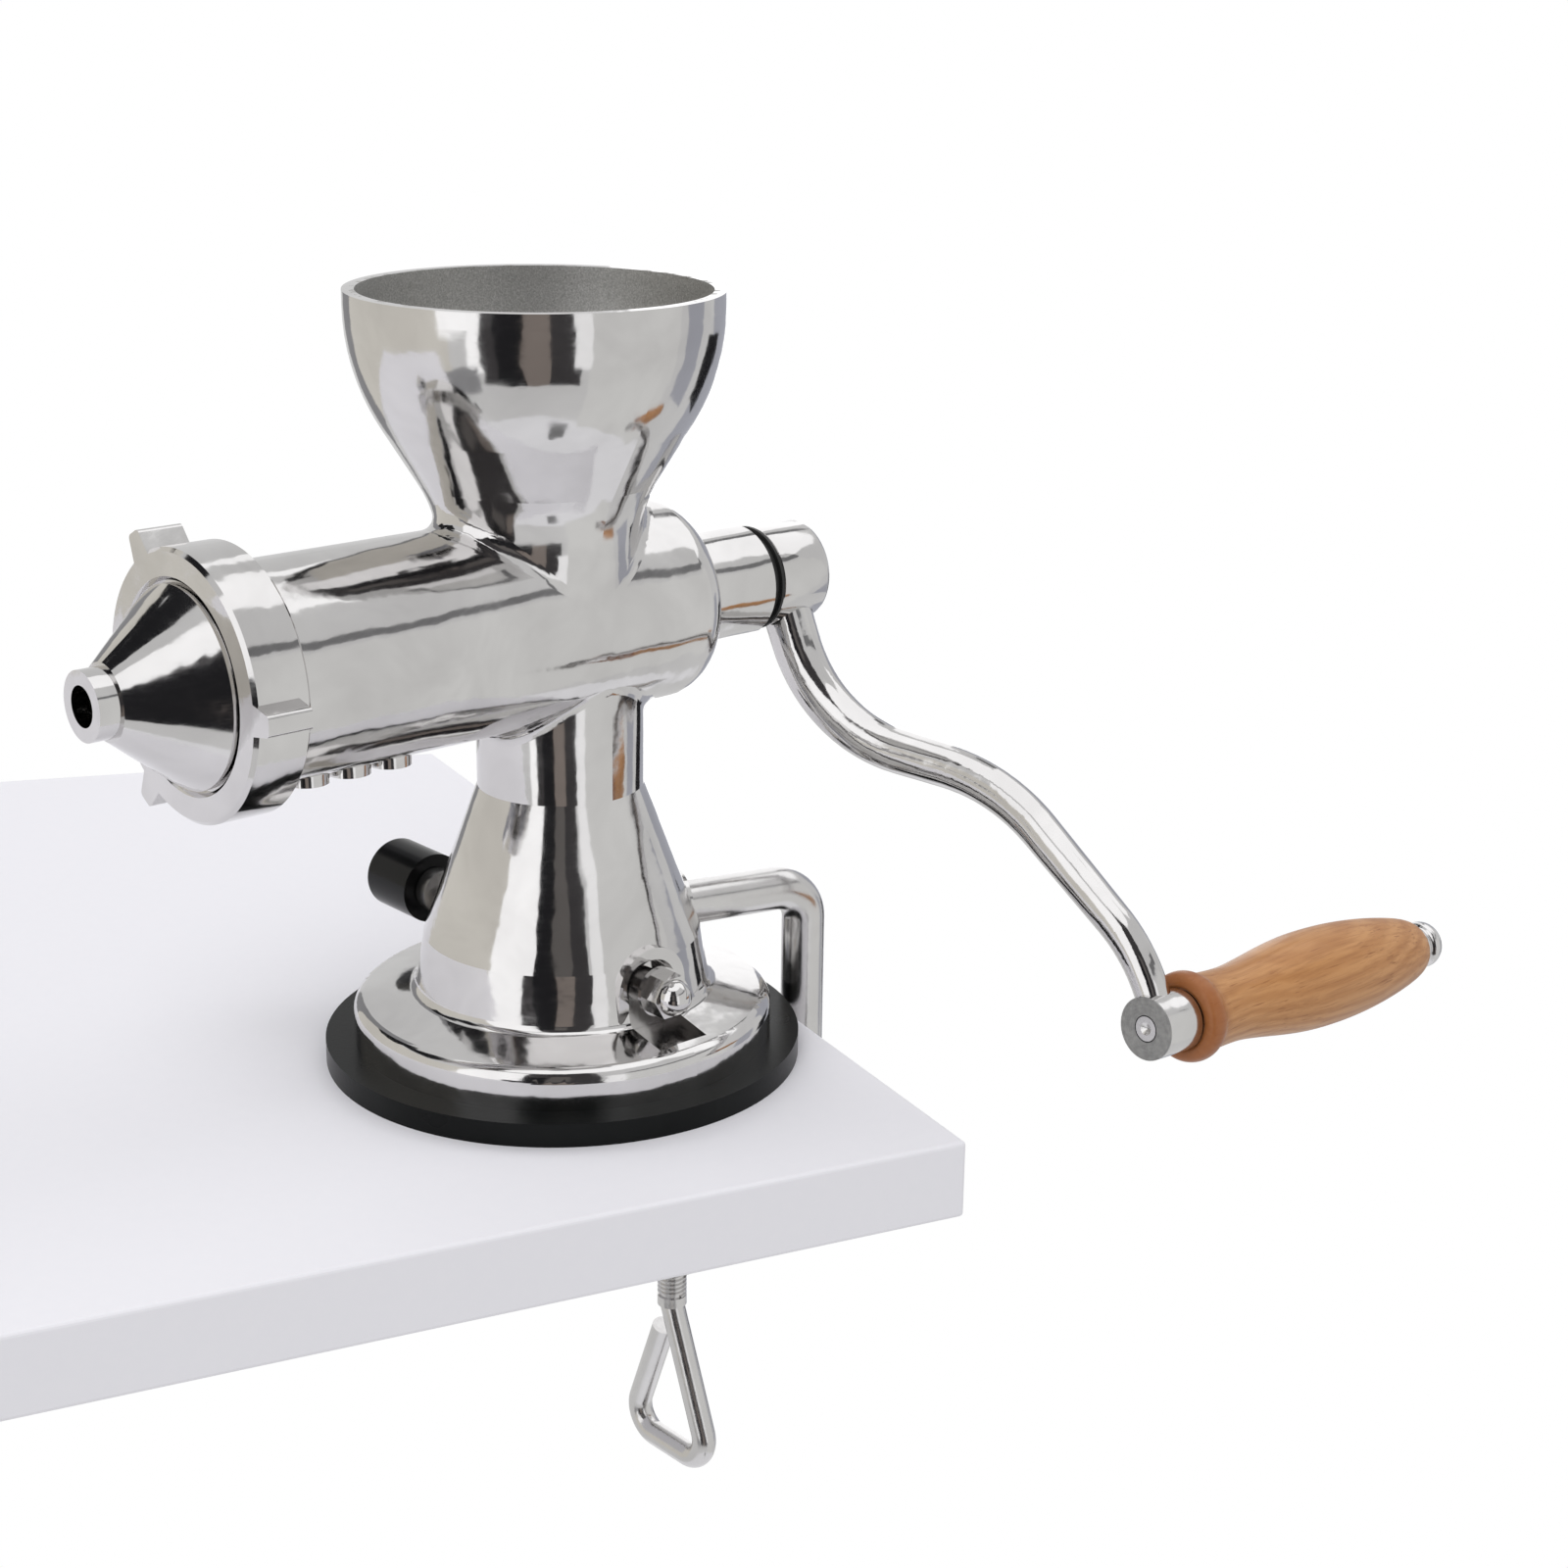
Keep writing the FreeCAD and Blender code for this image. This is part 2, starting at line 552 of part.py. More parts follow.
def make_screen():
    # Sleeve round the front of the auger, slotted to let the juice out
    rear = size.screen_seat_rear + size.screen_clearance
    body = on_barrel_axis("juice_screen", [
        (-size.barrel_front, screen_inner), (-rear, screen_inner), (-rear, screen_outer),
        (-size.barrel_front, screen_outer)])
    half = size.screen_slot_width / 2
    middle = (size.barrel_front + size.screen_seat_rear) / 2
    front, rear = -middle - size.screen_slot_length / 2, -middle + size.screen_slot_length / 2
    sketch = draw_outline(new_sketch(body, "screen_slot_outline", "XY_Plane",
                                     (0, 0, size.axis_height - size.screen_seat_radius)), [
        (-half, front), (zero, front - half, half, front), (half, rear),
        (zero, rear + half, -half, rear)])
    slot = extrude(body, "screen_slot", sketch, size.screen_wall + size.screen_clearance * 2,
                   cut=True, reverse=True)
    document.recompute()
    pattern = body.newObject("PartDesign::PolarPattern", "screen_slots")
    pattern.Originals = [slot]
    pattern.Axis = (body.getObject("juice_screen_outline"), ["H_Axis"])
    pattern.Angle = 360
    pattern.Occurrences = int(size.screen_slots.number)
    pattern.setExpression("Occurrences", size.screen_slots.text)
    body.Tip = pattern
    return body


def make_gasket():
    inner = size.screen_seat_radius
    return on_barrel_axis("front_gasket", [
        (-gasket_front, inner), (-size.barrel_front, inner),
        (-size.barrel_front, size.outlet_flange_radius), (-gasket_front, size.outlet_flange_radius)])


def make_suction_cup():
    # Flat lip outside, domed and free of the table inside, with a hole for the stud
    hole = size.stud_radius + size.stud_clearance
    lip = size.cup_radius - size.cup_lip
    bore_side = size.stud_head_radius + size.stud_clearance
    inner_seat = size.flange_radius - size.casting_wall
    body = turned("suction_cup", "XZ_Plane", "V_Axis", [
        (hole, size.cup_dome), (bore_side, size.cup_dome), (lip, zero), (size.cup_radius, zero),
        (size.cup_radius, cup_top), (inner_seat, cup_top),
        (size.stud_plate_radius, web_top), (hole, web_top)])
    return body


# Outlet end

def make_outlet_cone():
    shoulder = flange_front + size.outlet_shoulder
    nozzle_root = size.nozzle_tip - size.nozzle_length
    inner_start = size.nozzle_tip - size.nozzle_bore_length
    bore = size.nozzle_bore
    return on_barrel_axis("outlet_cone", [
        (-gasket_front, size.outlet_root_radius - size.outlet_wall),
        (-gasket_front, size.outlet_flange_radius), (-flange_front, size.outlet_flange_radius),
        (-flange_front, size.outlet_root_radius), (-shoulder, size.outlet_root_radius),
        (-nozzle_root, size.nozzle_radius + size.nozzle_land), (-nozzle_root, size.nozzle_radius),
        (-size.nozzle_tip, size.nozzle_radius), (-size.nozzle_tip, bore), (-inner_start, bore),
        (-shoulder, size.outlet_root_radius - size.outlet_wall)])


def make_ring_nut():
    outer = size.ring_radius
    edge = size.ring_edge
    inner = size.barrel_radius + size.thread_clearance
    body = on_barrel_axis("ring_nut", [
        (-ring_rear, inner), (-ring_rear, outer - edge), (-ring_rear - edge, outer),
        (-ring_front + edge, outer), (-ring_front, outer - edge),
        (-ring_front, size.ring_opening + edge), (-ring_front + edge, size.ring_opening),
        (-flange_front, size.ring_opening), (-flange_front, inner)])
    # One gripping lug, repeated round the ring
    half = size.lug_width / 2
    foot = size.lug_foot / 2
    reach = outer + size.lug_height
    root = inner + edge
    sketch = draw_outline(new_sketch(body, "lug_outline", "XZ_Plane", (0, size.axis_height, ring_front)), [
        (foot, root), (half, reach), (-half, reach), (-foot, root)])
    sketch.AttachmentOffset = FreeCAD.Placement(
        sketch.AttachmentOffset.Base, FreeCAD.Rotation(Vector(0, 0, 1), size.lug_angle.number - 90))
    sketch.setExpression("AttachmentOffset.Rotation.Angle", (size.lug_angle - 90).text)
    lug = extrude(body, "lug", sketch, size.lug_depth, reverse=True)
    document.recompute()
    pattern = body.newObject("PartDesign::PolarPattern", "lugs")
    pattern.Originals = [lug]
    pattern.Axis = (body.getObject("ring_nut_outline"), ["H_Axis"])
    pattern.Angle = 360
    pattern.Occurrences = int(size.lug_count.number)
    pattern.setExpression("Occurrences", size.lug_count.text)
    body.Tip = pattern

    def lug_side(edge):
        # The long edges on the outside corners of the lugs
        points = [vertex.Point for vertex in edge.Vertexes]
        reaches = [math.hypot(p.x, p.z - size.axis_height.number) for p in points]
        corner = math.hypot(half.number, reach.number)
        return len(points) == 2 and all(abs(r - corner) < same_place for r in reaches) and \
            abs(points[0].y - points[1].y) > size.lug_height.number

    body.Tip = round_edges(body, "lug_rounds", pattern, lug_side, size.lug_round)
    return body


# Auger, crank and grip

def make_auger():
    tail_end = hub_front + size.tail_depth
    flights_end = bore_end - size.inner_washer_thickness - size.auger_end_gap
    front = -size.barrel_front
    body = on_barrel_axis("auger", [
        (front - size.nose_length, zero), (front - size.nose_length, size.nose_radius),
        (front, size.core_front_radius), (flights_end, size.core_rear_radius),
        (flights_end, size.shaft_radius), (hub_front - size.hub_gap, size.shaft_radius),
        (hub_front - size.hub_gap, size.tail_radius), (tail_end, size.tail_radius),
        (tail_end, zero)])
    root = size.flight_root / 2
    tip = size.flight_tip / 2
    start = front + root
    inner = size.shaft_radius
    profile = draw_outline(new_sketch(body, "flight_outline", "YZ_Plane", (0, size.axis_height, 0)), [
        (start - root, inner), (start - tip, flight_radius), (start + tip, flight_radius),
        (start + root, inner)])
    flight = body.newObject("PartDesign::AdditiveHelix", "flight")
    flight.Profile = profile
    flight.ReferenceAxis = (profile, ["H_Axis"])
    flight.Mode = "pitch-height-angle"
    length = flights_end - size.flight_root - front
    flight.Pitch = size.flight_pitch.number
    flight.setExpression("Pitch", size.flight_pitch.text)
    flight.Height = length.number
    flight.setExpression("Height", length.text)
    return body


def rounded_path(corners, bends):
    # Straight runs through the corners, joined by tangent arcs of the given radii
    edges = []
    start = corners[0]
    for before, corner, after, radius in zip(corners, corners[1:], corners[2:], bends):
        back = (before - corner).normalize()
        ahead = (after - corner).normalize()
        half_angle = back.getAngle(ahead) / 2
        reach = radius / math.tan(half_angle)
        bisector = (back + ahead).normalize()
        centre = corner + bisector * (radius / math.sin(half_angle))
        first, last = corner + back * reach, corner + ahead * reach
        edges.append(Part.LineSegment(start, first).toShape())
        edges.append(Part.Arc(first, centre - bisector * radius, last).toShape())
        start = last
    edges.append(Part.LineSegment(start, corners[-1]).toShape())
    return Part.Wire(edges)


def make_crank_arm():
    # The arm leaves the hub, swings clear of the table clamp and drops to the grip's knuckle.
    # Its path turns in space and its section tapers, so it is swept through two circles.
    level = size.axis_height.number
    plane, outer_plane = arm_plane.number, knuckle_plane.number
    corners = [
        Vector(0, plane, level),
        Vector(size.arm_first_out.number, plane, level - size.arm_first_drop.number),
        Vector(size.arm_second_out.number, outer_plane, level - size.arm_second_drop.number),
        Vector(size.arm_third_out.number, outer_plane, level - size.arm_third_drop.number),
        Vector(size.knuckle_out.number, outer_plane, level - size.knuckle_drop.number)]
    bends = [size.arm_first_bend.number, size.arm_second_bend.number, size.arm_third_bend.number]
    path = rounded_path(corners, bends)
    root = Part.Wire(Part.makeCircle(size.arm_root_radius.number, corners[0], corners[1] - corners[0]))
    tip = Part.Wire(Part.makeCircle(size.arm_tip_radius.number, corners[-1], corners[-1] - corners[-2]))
    arm = path.makePipeShell([root, tip], True, False, 2)

    along = Vector(0, 1, 0)
    hub = Part.makeCylinder(size.hub_radius.number, size.hub_length.number,
                            Vector(0, hub_front.number, level), along)
    dip = Vector(0, cosine(size.grip_dip).number, -sine(size.grip_dip).number)
    knuckle_start = corners[-1] - dip * (size.knuckle_length / 2).number
    knuckle = Part.makeCylinder(size.knuckle_radius.number, size.knuckle_length.number,
                                knuckle_start, dip)
    hub_edges = [edge for edge in hub.Edges if isinstance(edge.Curve, Part.Circle)
                 and abs(edge.Curve.Center.y - hub_rear.number) < same_place]
    hub = hub.makeFillet(size.hub_round.number, hub_edges)
    tail_bore = Part.makeCylinder((size.tail_radius + size.tail_clearance).number,
                                  (size.tail_depth + size.tail_clearance).number,
                                  Vector(0, hub_front.number, level), along)
    rivet_bore = Part.makeCylinder(size.spindle_radius.number, size.knuckle_length.number,
                                   knuckle_start, dip)
    crank = document.addObject("Part::Feature", "crank_arm")
    crank.Label = "crank_arm"
    crank.Shape = hub.fuse([arm, knuckle]).removeSplitter().cut([tail_bore, rivet_bore])
    crank.Placement = FreeCAD.Placement()
    parts.append(crank)
    return crank


def on_grip_axis(label, steps):
    # A piece turned about the knuckle's own axis, which dips a little towards the grip's end
    body = new_body(label)
    sketch = new_sketch(body, label + "_outline", "YZ_Plane",
                        (knuckle_plane, knuckle_height, size.knuckle_out))
    sketch.AttachmentOffset = FreeCAD.Placement(
        sketch.AttachmentOffset.Base, FreeCAD.Rotation(Vector(0, 0, -1), size.grip_dip.number))
    sketch.setExpression("AttachmentOffset.Rotation.Angle", size.grip_dip.text)
    places = [tuple(part if index % 2 else part - knuckle_plane for index, part in enumerate(step))
              for step in steps]
    revolve(body, label + "_turn", draw_outline(sketch, places), "H_Axis")
    return body


def make_grip_spindle():
    end = grip_end + size.grip_gap + size.grip_cap_length
    return on_grip_axis("grip_spindle", [
        (knuckle_front + size.rivet_dimple / 2, zero), (knuckle_front, size.rivet_dimple),
        (knuckle_front, size.spindle_radius), (end, size.spindle_radius), (end, zero)])


def make_grip():
    bore = size.spindle_radius + size.spindle_running
    bead_end = grip_start + size.grip_bead_length
    neck = grip_start + size.grip_neck_at
    belly = grip_start + size.grip_belly_at
    tail = grip_end - size.grip_end_round
    middle_radius = (size.grip_neck_radius + size.grip_belly_radius) / 2
    return on_grip_axis("wooden_grip", [
        (grip_start, bore), (grip_start, size.grip_neck_radius),
        (grip_start + size.grip_bead_length / 2, size.grip_bead_radius,
         bead_end, size.grip_bead_foot),
        (neck - size.grip_bead_length / 2, size.grip_neck_radius,
         (neck + belly) / 2 - size.grip_bead_length, middle_radius),
        (belly, size.grip_belly_radius, tail, size.grip_end_radius),
        rounded_corner((grip_end, size.grip_end_radius), 0, -90, -size.grip_end_round)[1],
        (grip_end, bore)])


def make_grip_cap():
    # A washer with the rivet's crowned head on it
    start = grip_end + size.grip_gap
    step = start + size.grip_cap_washer
    end = start + size.grip_cap_length
    return on_grip_axis("grip_cap", [
        (start, size.spindle_radius), (start, grip_cap_radius), (step, grip_cap_radius),
        (step, grip_cap_head),
        *rounded_corner((end, grip_cap_head), 0, -90, -size.grip_cap_round),
        (end, size.spindle_radius)])


# Suction lever, its shaft and the stud that it lifts

def on_cam_axis(label, steps):
    return turned(label, "XZ_Plane", "H_Axis", steps, (zero, size.cam_height, zero))


def make_cam_shaft():
    # Thick on the lever's side, thin beyond the journal, so that it slides in from one side
    half = size.journal_half_length
    body = on_cam_axis("cam_shaft", [
        (-size.lever_face, zero), (-size.lever_face, size.cam_shaft_radius),
        (-half, size.cam_shaft_radius), (-half, size.far_shaft_radius),
        (size.shaft_end, size.far_shaft_radius), (size.shaft_end, zero)])
    offset = (size.journal_offset * cosine(size.journal_angle),
              size.cam_height + size.journal_offset * sine(size.journal_angle))
    journal = draw_circle(new_sketch(body, "journal_outline", "YZ_Plane"), size.journal_radius, offset)
    extrude(body, "journal", journal, half * 2, both=True)
    return body


def make_lever_arm():
    # A flat strap welded to the shaft's end, with the pin that carries the knob
    body = new_body("lever_arm")
    length = Size(math.hypot(size.lever_forward.number, size.lever_rise.number),
                  f"sqrt({size.lever_forward.text} ^ 2 + {size.lever_rise.text} ^ 2)")
    radius = size.lever_width / 2
    across = size.lever_rise / length * radius, size.lever_forward / length * radius
    onward = size.lever_forward / length * radius, size.lever_rise / length * radius
    knob = (-size.lever_forward, size.cam_height + size.lever_rise)
    strap = draw_outline(new_sketch(body, "strap_outline", "YZ_Plane", (0, 0, -size.lever_face)), [
        (across[0], size.cam_height + across[1]), (knob[0] + across[0], knob[1] + across[1]),
        (knob[0] - onward[0], knob[1] + onward[1], knob[0] - across[0], knob[1] - across[1]),
        (-across[0], size.cam_height - across[1]),
        (onward[0], size.cam_height - onward[1], across[0], size.cam_height + across[1])])
    extrude(body, "strap", strap, size.lever_thickness, reverse=True)
    pin = draw_circle(new_sketch(body, "pin_outline", "YZ_Plane",
                                 (0, 0, -size.lever_face - size.lever_thickness)),
                      size.knob_pin_radius, knob)
    extrude(body, "pin", pin, size.knob_pin_length, reverse=True)
    return body


def make_lever_knob():
    start = -size.lever_face - size.lever_thickness - size.knob_gap
    end = start - size.knob_length
    pin_end = -size.lever_face - size.lever_thickness - size.knob_pin_length
    pin = size.knob_pin_radius + size.thread_clearance / 2
    edge = size.knob_round
    radius = size.knob_radius
    body = new_body("lever_knob")
    sketch = new_sketch(body, "lever_knob_outline", "XZ_Plane",
                        (0, size.cam_height + size.lever_rise, size.lever_forward))
    draw_outline(sketch, [
        (start, pin), (start, radius), *rounded_corner((end, radius), 180, 270, edge),
        (end, zero), (pin_end - size.thread_clearance, zero), (pin_end - size.thread_clearance, pin)])
    revolve(body, "knob", sketch, "H_Axis")
    return body


def make_shaft_spacer():
    start = size.recess_floor + size.nut_seat
    inner = size.far_shaft_radius + size.thread_clearance / 2
    end = start + size.spacer_length
    return on_cam_axis("shaft_spacer", [
        (start, inner), (start, size.spacer_radius), (end, size.spacer_radius), (end, inner)])


def make_cam_washer():
    start = size.recess_floor + size.nut_seat + size.spacer_length
    inner = size.far_shaft_radius + size.thread_clearance / 2
    end = start + size.cam_washer_thickness
    return on_cam_axis("cam_washer", [
        (start, inner), (start, size.cam_washer_radius), (end, size.cam_washer_radius), (end, inner)])


def make_acorn_nut():
    # Hexagon with a domed cap, chamfered by the cone that touches its corners
    start = size.recess_floor + size.nut_seat + size.spacer_length + size.cam_washer_thickness
    body = new_body("acorn_nut")
    corner = size.nut_flats / 2 / cosine(30)
    hexagon = draw_outline(new_sketch(body, "hexagon", "YZ_Plane", (0, 0, start)), [
        (corner * cosine(60 * turn), size.cam_height + corner * sine(60 * turn))
        for turn in range(6)])
    extrude(body, "flats", hexagon, size.nut_thickness)
    end = start + size.nut_thickness
    dome = draw_outline(new_sketch(body, "dome_outline", "XZ_Plane", (0, size.cam_height, 0)), [
        (start, zero), (start, size.nut_dome_radius), (end, size.nut_dome_radius),
        (end + size.nut_dome_radius * cosine(45), size.nut_dome_radius * sine(45),
         end + size.nut_dome_radius, zero)])
    revolve(body, "dome", dome, "H_Axis")
    bore = size.far_shaft_radius + size.thread_clearance / 2
    hole = draw_circle(new_sketch(body, "nut_bore", "YZ_Plane", (0, 0, start)), bore,
                       (zero, size.cam_height))
    depth = size.shaft_end - start + size.thread_clearance
    extrude(body, "thread", hole, depth, cut=True, reverse=True)
    return body


def make_cup_plate():
    inner = size.stud_radius + size.stud_clearance
    top = web_top + size.stud_plate_thickness
    return turned("cup_plate", "XZ_Plane", "V_Axis", [
        (inner, web_top), (size.stud_plate_radius, web_top), (size.stud_plate_radius, top),
        (inner, top)])


def make_cup_stud():
    # Headed stud through the cup, flattened above into an eye round the shaft's journal
    top = size.cam_height
    head_top = size.stud_head_height + size.stud_head_thickness
    body = turned("cup_stud", "XZ_Plane", "V_Axis", [
        (zero, size.stud_head_height), (size.stud_head_radius, size.stud_head_height),
        (size.stud_head_radius, head_top), (size.stud_radius, head_top),
        (size.stud_radius, top), (zero, top)])
    reach = size.journal_offset * (1 + cosine(size.journal_angle)) / 2
    sway = size.journal_offset * (1 - cosine(size.journal_angle)) / 2
    level = size.cam_height + size.journal_offset * sine(size.journal_angle)
    eye = draw_circle(new_sketch(body, "eye_outline", "YZ_Plane"), size.eye_radius, (reach, level))
    extrude(body, "eye", eye, size.eye_thickness, both=True)
    clear = size.journal_radius + size.eye_clearance
    slot = draw_outline(new_sketch(body, "eye_slot", "YZ_Plane"), [
        (reach - sway, level - clear), (reach + sway, level - clear),
        (reach + sway + clear, level, reach + sway, level + clear), (reach - sway, level + clear),
        (reach - sway - clear, level, reach - sway, level - clear)])
    extrude(body, "eye_hole", slot, size.eye_thickness * 2, cut=True, both=True)
    return body


# Table clamp

def make_clamp_frame():
    body = new_body("clamp_frame")
    bend = size.clamp_bend
    low = -size.clamp_lower
    path = draw_outline(new_sketch(body, "clamp_path", "YZ_Plane", turn=-size.clamp_angle), [
        (size.clamp_rod_start, size.clamp_arm_height),
        *rounded_corner((size.clamp_reach, size.clamp_arm_height), 0, -90, -bend),
        *rounded_corner((size.clamp_reach, low), -90, -180, -bend),
        (size.clamp_rod_end, low)], closed=False)
    section = draw_circle(socket_sketch(body, "rod_section", size.clamp_rod_start,
                                        size.clamp_arm_height), size.clamp_rod_radius)
    rod = body.newObject("PartDesign::AdditivePipe", "rod")
    rod.Profile = section
    rod.Spine = (path, [f"Edge{n}" for n in range(1, 6)])
    # Threaded boss welded to the rod's lower end
    side, rear = along_clamp(size.clamp_screw_reach)
    half = size.clamp_boss_height / 2
    boss = draw_circle(new_sketch(body, "boss_outline", "XY_Plane", (0, 0, low)),
                       size.clamp_boss_radius, (side, rear))
    extrude(body, "boss", boss, half * 2, both=True)
    thread = draw_circle(new_sketch(body, "boss_thread", "XY_Plane", (0, 0, low)),
                         size.screw_radius + size.screw_clearance, (side, rear))
    extrude(body, "thread_hole", thread, size.clamp_boss_height * 2, cut=True, both=True)
    return body


def on_screw_axis(label, steps):
    side, rear = along_clamp(size.clamp_screw_reach)
    body = new_body(label)
    sketch = new_sketch(body, label + "_outline", "XZ_Plane", (side, 0, -rear))
    revolve(body, label + "_turn", draw_outline(sketch, steps), "V_Axis")
    return body


def make_clamp_pad():
    # A disc with a skirt below that holds the screw's end
    top = -size.pad_gap
    disc = top - size.pad_thickness
    hole = size.screw_radius + size.screw_clearance
    edge = size.pad_edge
    return on_screw_axis("clamp_pad", [
        (zero, top - size.pad_floor), (hole, top - size.pad_floor), (hole, disc - size.pad_skirt),
        (size.pad_skirt_radius, disc - size.pad_skirt), (size.pad_skirt_radius, disc),
        (size.pad_radius, disc), (size.pad_radius, top - edge), (size.pad_radius - edge, top),
        (zero, top)])


def make_clamp_screw():
    # Threaded stem whose lower end is bent into a three cornered loop, open at one side
    side, rear = along_clamp(size.clamp_screw_reach)
    top = -size.pad_gap - size.pad_floor - size.screw_clearance
    stem_end = top - size.screw_length
    body = on_screw_axis("clamp_screw", [
        (zero, top), (size.screw_radius, top), (size.screw_radius, stem_end), (zero, stem_end)])
    path = new_sketch(body, "loop_path", "XZ_Plane", (side, 0, -rear))
    low = stem_end - size.loop_height
    wide = size.loop_half_width
    lean = slope_angle(size.loop_height, wide)
    gap = size.loop_end_gap
    # The first leg starts inside the stem, on the leg's own line
    inset = size.loop_rod_radius
    start = (-inset * cosine(lean), stem_end + inset * sine(lean))
    draw_outline(path, [
        start, *rounded_corner((wide, low), -lean, -180, -size.loop_bend),
        *rounded_corner((-wide, low), -180, lean - 360, -size.loop_bend),
        (-gap * wide / size.loop_height, stem_end - gap)], closed=False)
    section = new_sketch(body, "loop_section", "XY_Plane", (side + start[0], rear, start[1]),
                         lean - 90)
    draw_circle(section, size.loop_rod_radius)
    loop = body.newObject("PartDesign::AdditivePipe", "loop")
    loop.Profile = section
    loop.Spine = (path, [f"Edge{n}" for n in range(1, 6)])
    return body


makers = [
    make_casting, make_rear_bush, make_thrust_washer, make_inner_washer, make_screen, make_gasket,
    make_suction_cup, make_outlet_cone, make_ring_nut, make_auger, make_crank_arm,
    make_grip_spindle, make_grip, make_grip_cap, make_cam_shaft, make_lever_arm, make_lever_knob,
    make_shaft_spacer, make_cam_washer, make_acorn_nut, make_cup_plate, make_cup_stud,
    make_clamp_frame, make_clamp_pad, make_clamp_screw]
for make in makers:
    make()
document.recompute()

for item in document.Objects:
    if "Invalid" in item.State or "Error" in item.State:
        raise RuntimeError(f"{item.Label} failed: {item.State}")
for piece in parts:
    if piece.Shape.isNull() or not piece.Shape.isValid() or len(piece.Shape.Solids) != 1:
        raise RuntimeError(f"{piece.Label} is not one valid solid")

os.makedirs("parts", exist_ok=True)
for piece in parts:
    piece.Shape.exportStep(f"parts/{piece.Label}.step")
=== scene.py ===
import math

import bmesh
import bpy
from mathutils import Matrix, Vector


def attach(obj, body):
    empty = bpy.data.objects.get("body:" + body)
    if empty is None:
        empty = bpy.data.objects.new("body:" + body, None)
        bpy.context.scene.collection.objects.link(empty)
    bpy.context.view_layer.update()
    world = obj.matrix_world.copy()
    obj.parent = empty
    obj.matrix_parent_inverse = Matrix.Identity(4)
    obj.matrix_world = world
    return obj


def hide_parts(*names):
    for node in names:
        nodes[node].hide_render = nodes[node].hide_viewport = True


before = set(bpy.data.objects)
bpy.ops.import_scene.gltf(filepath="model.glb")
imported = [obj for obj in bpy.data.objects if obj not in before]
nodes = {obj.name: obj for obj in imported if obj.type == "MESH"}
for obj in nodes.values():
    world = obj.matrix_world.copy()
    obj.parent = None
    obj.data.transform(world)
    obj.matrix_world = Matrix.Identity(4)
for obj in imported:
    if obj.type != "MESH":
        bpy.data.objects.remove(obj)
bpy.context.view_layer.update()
print("frame loaded:", len(nodes), "nodes")


def startMaterial(name):
    material = bpy.data.materials.new(name)
    material.use_nodes = True
    return material, material.node_tree, material.node_tree.nodes["Principled BSDF"]


def wire(tree, kind, sockets=None, **settings):
    node = tree.nodes.new(kind)
    for key, value in settings.items():
        setattr(node, key, value)
    for key, value in (sockets or {}).items():
        feed(tree, node.inputs[key], value)
    return node


def feed(tree, socket, value):
    if isinstance(value, bpy.types.NodeSocket):
        tree.links.new(value, socket)
    else:
        socket.default_value = value


def objectCoords(tree, stretch=(1, 1, 1), centre=(0, 0, 0), turn=(0, 0, 0)):
    place = wire(tree, "ShaderNodeTexCoord").outputs["Object"]
    mapping = wire(tree, "ShaderNodeMapping", {"Vector": place}, vector_type="TEXTURE")
    mapping.inputs["Location"].default_value = centre
    mapping.inputs["Rotation"].default_value = turn
    mapping.inputs["Scale"].default_value = [1 / part for part in stretch]
    return mapping.outputs["Vector"]


def cloud(tree, coords, scale, detail=3.0, rough=0.5, warp=0.0):
    made = {"Vector": coords, "Scale": scale, "Detail": detail, "Roughness": rough, "Distortion": warp}
    return wire(tree, "ShaderNodeTexNoise", made).outputs["Fac"]


def spread(tree, value, low, high, fromLow=0.0, fromHigh=1.0):
    made = {"Value": value, "From Min": fromLow, "From Max": fromHigh, "To Min": low, "To Max": high}
    return wire(tree, "ShaderNodeMapRange", made).outputs["Result"]


def maths(tree, operation, first, second=0.0):
    node = wire(tree, "ShaderNodeMath", operation=operation)
    feed(tree, node.inputs[0], first)
    feed(tree, node.inputs[1], second)
    return node.outputs[0]


def blend(tree, factor, first, second, mode="MIX"):
    node = wire(tree, "ShaderNodeMix", data_type="RGBA", blend_type=mode)
    feed(tree, node.inputs[0], factor)
    feed(tree, node.inputs[6], first)
    feed(tree, node.inputs[7], second)
    return node.outputs[2]


def blendValue(tree, factor, first, second):
    node = wire(tree, "ShaderNodeMix", data_type="FLOAT")
    feed(tree, node.inputs[0], factor)
    feed(tree, node.inputs[2], first)
    feed(tree, node.inputs[3], second)
    return node.outputs[0]


def bump(tree, height, distance, under=None):
    made = {"Height": height, "Distance": distance, "Strength": 1.0}
    if under is not None:
        made["Normal"] = under
    return wire(tree, "ShaderNodeBump", made).outputs["Normal"]


def rgba(colour):
    return (*colour, 1.0)


def product(tree, first, second):
    return maths(tree, "MULTIPLY", first, second)


def distance(tree, first, second):
    return maths(tree, "SQRT", maths(tree, "ADD", product(tree, first, first), product(tree, second, second)))


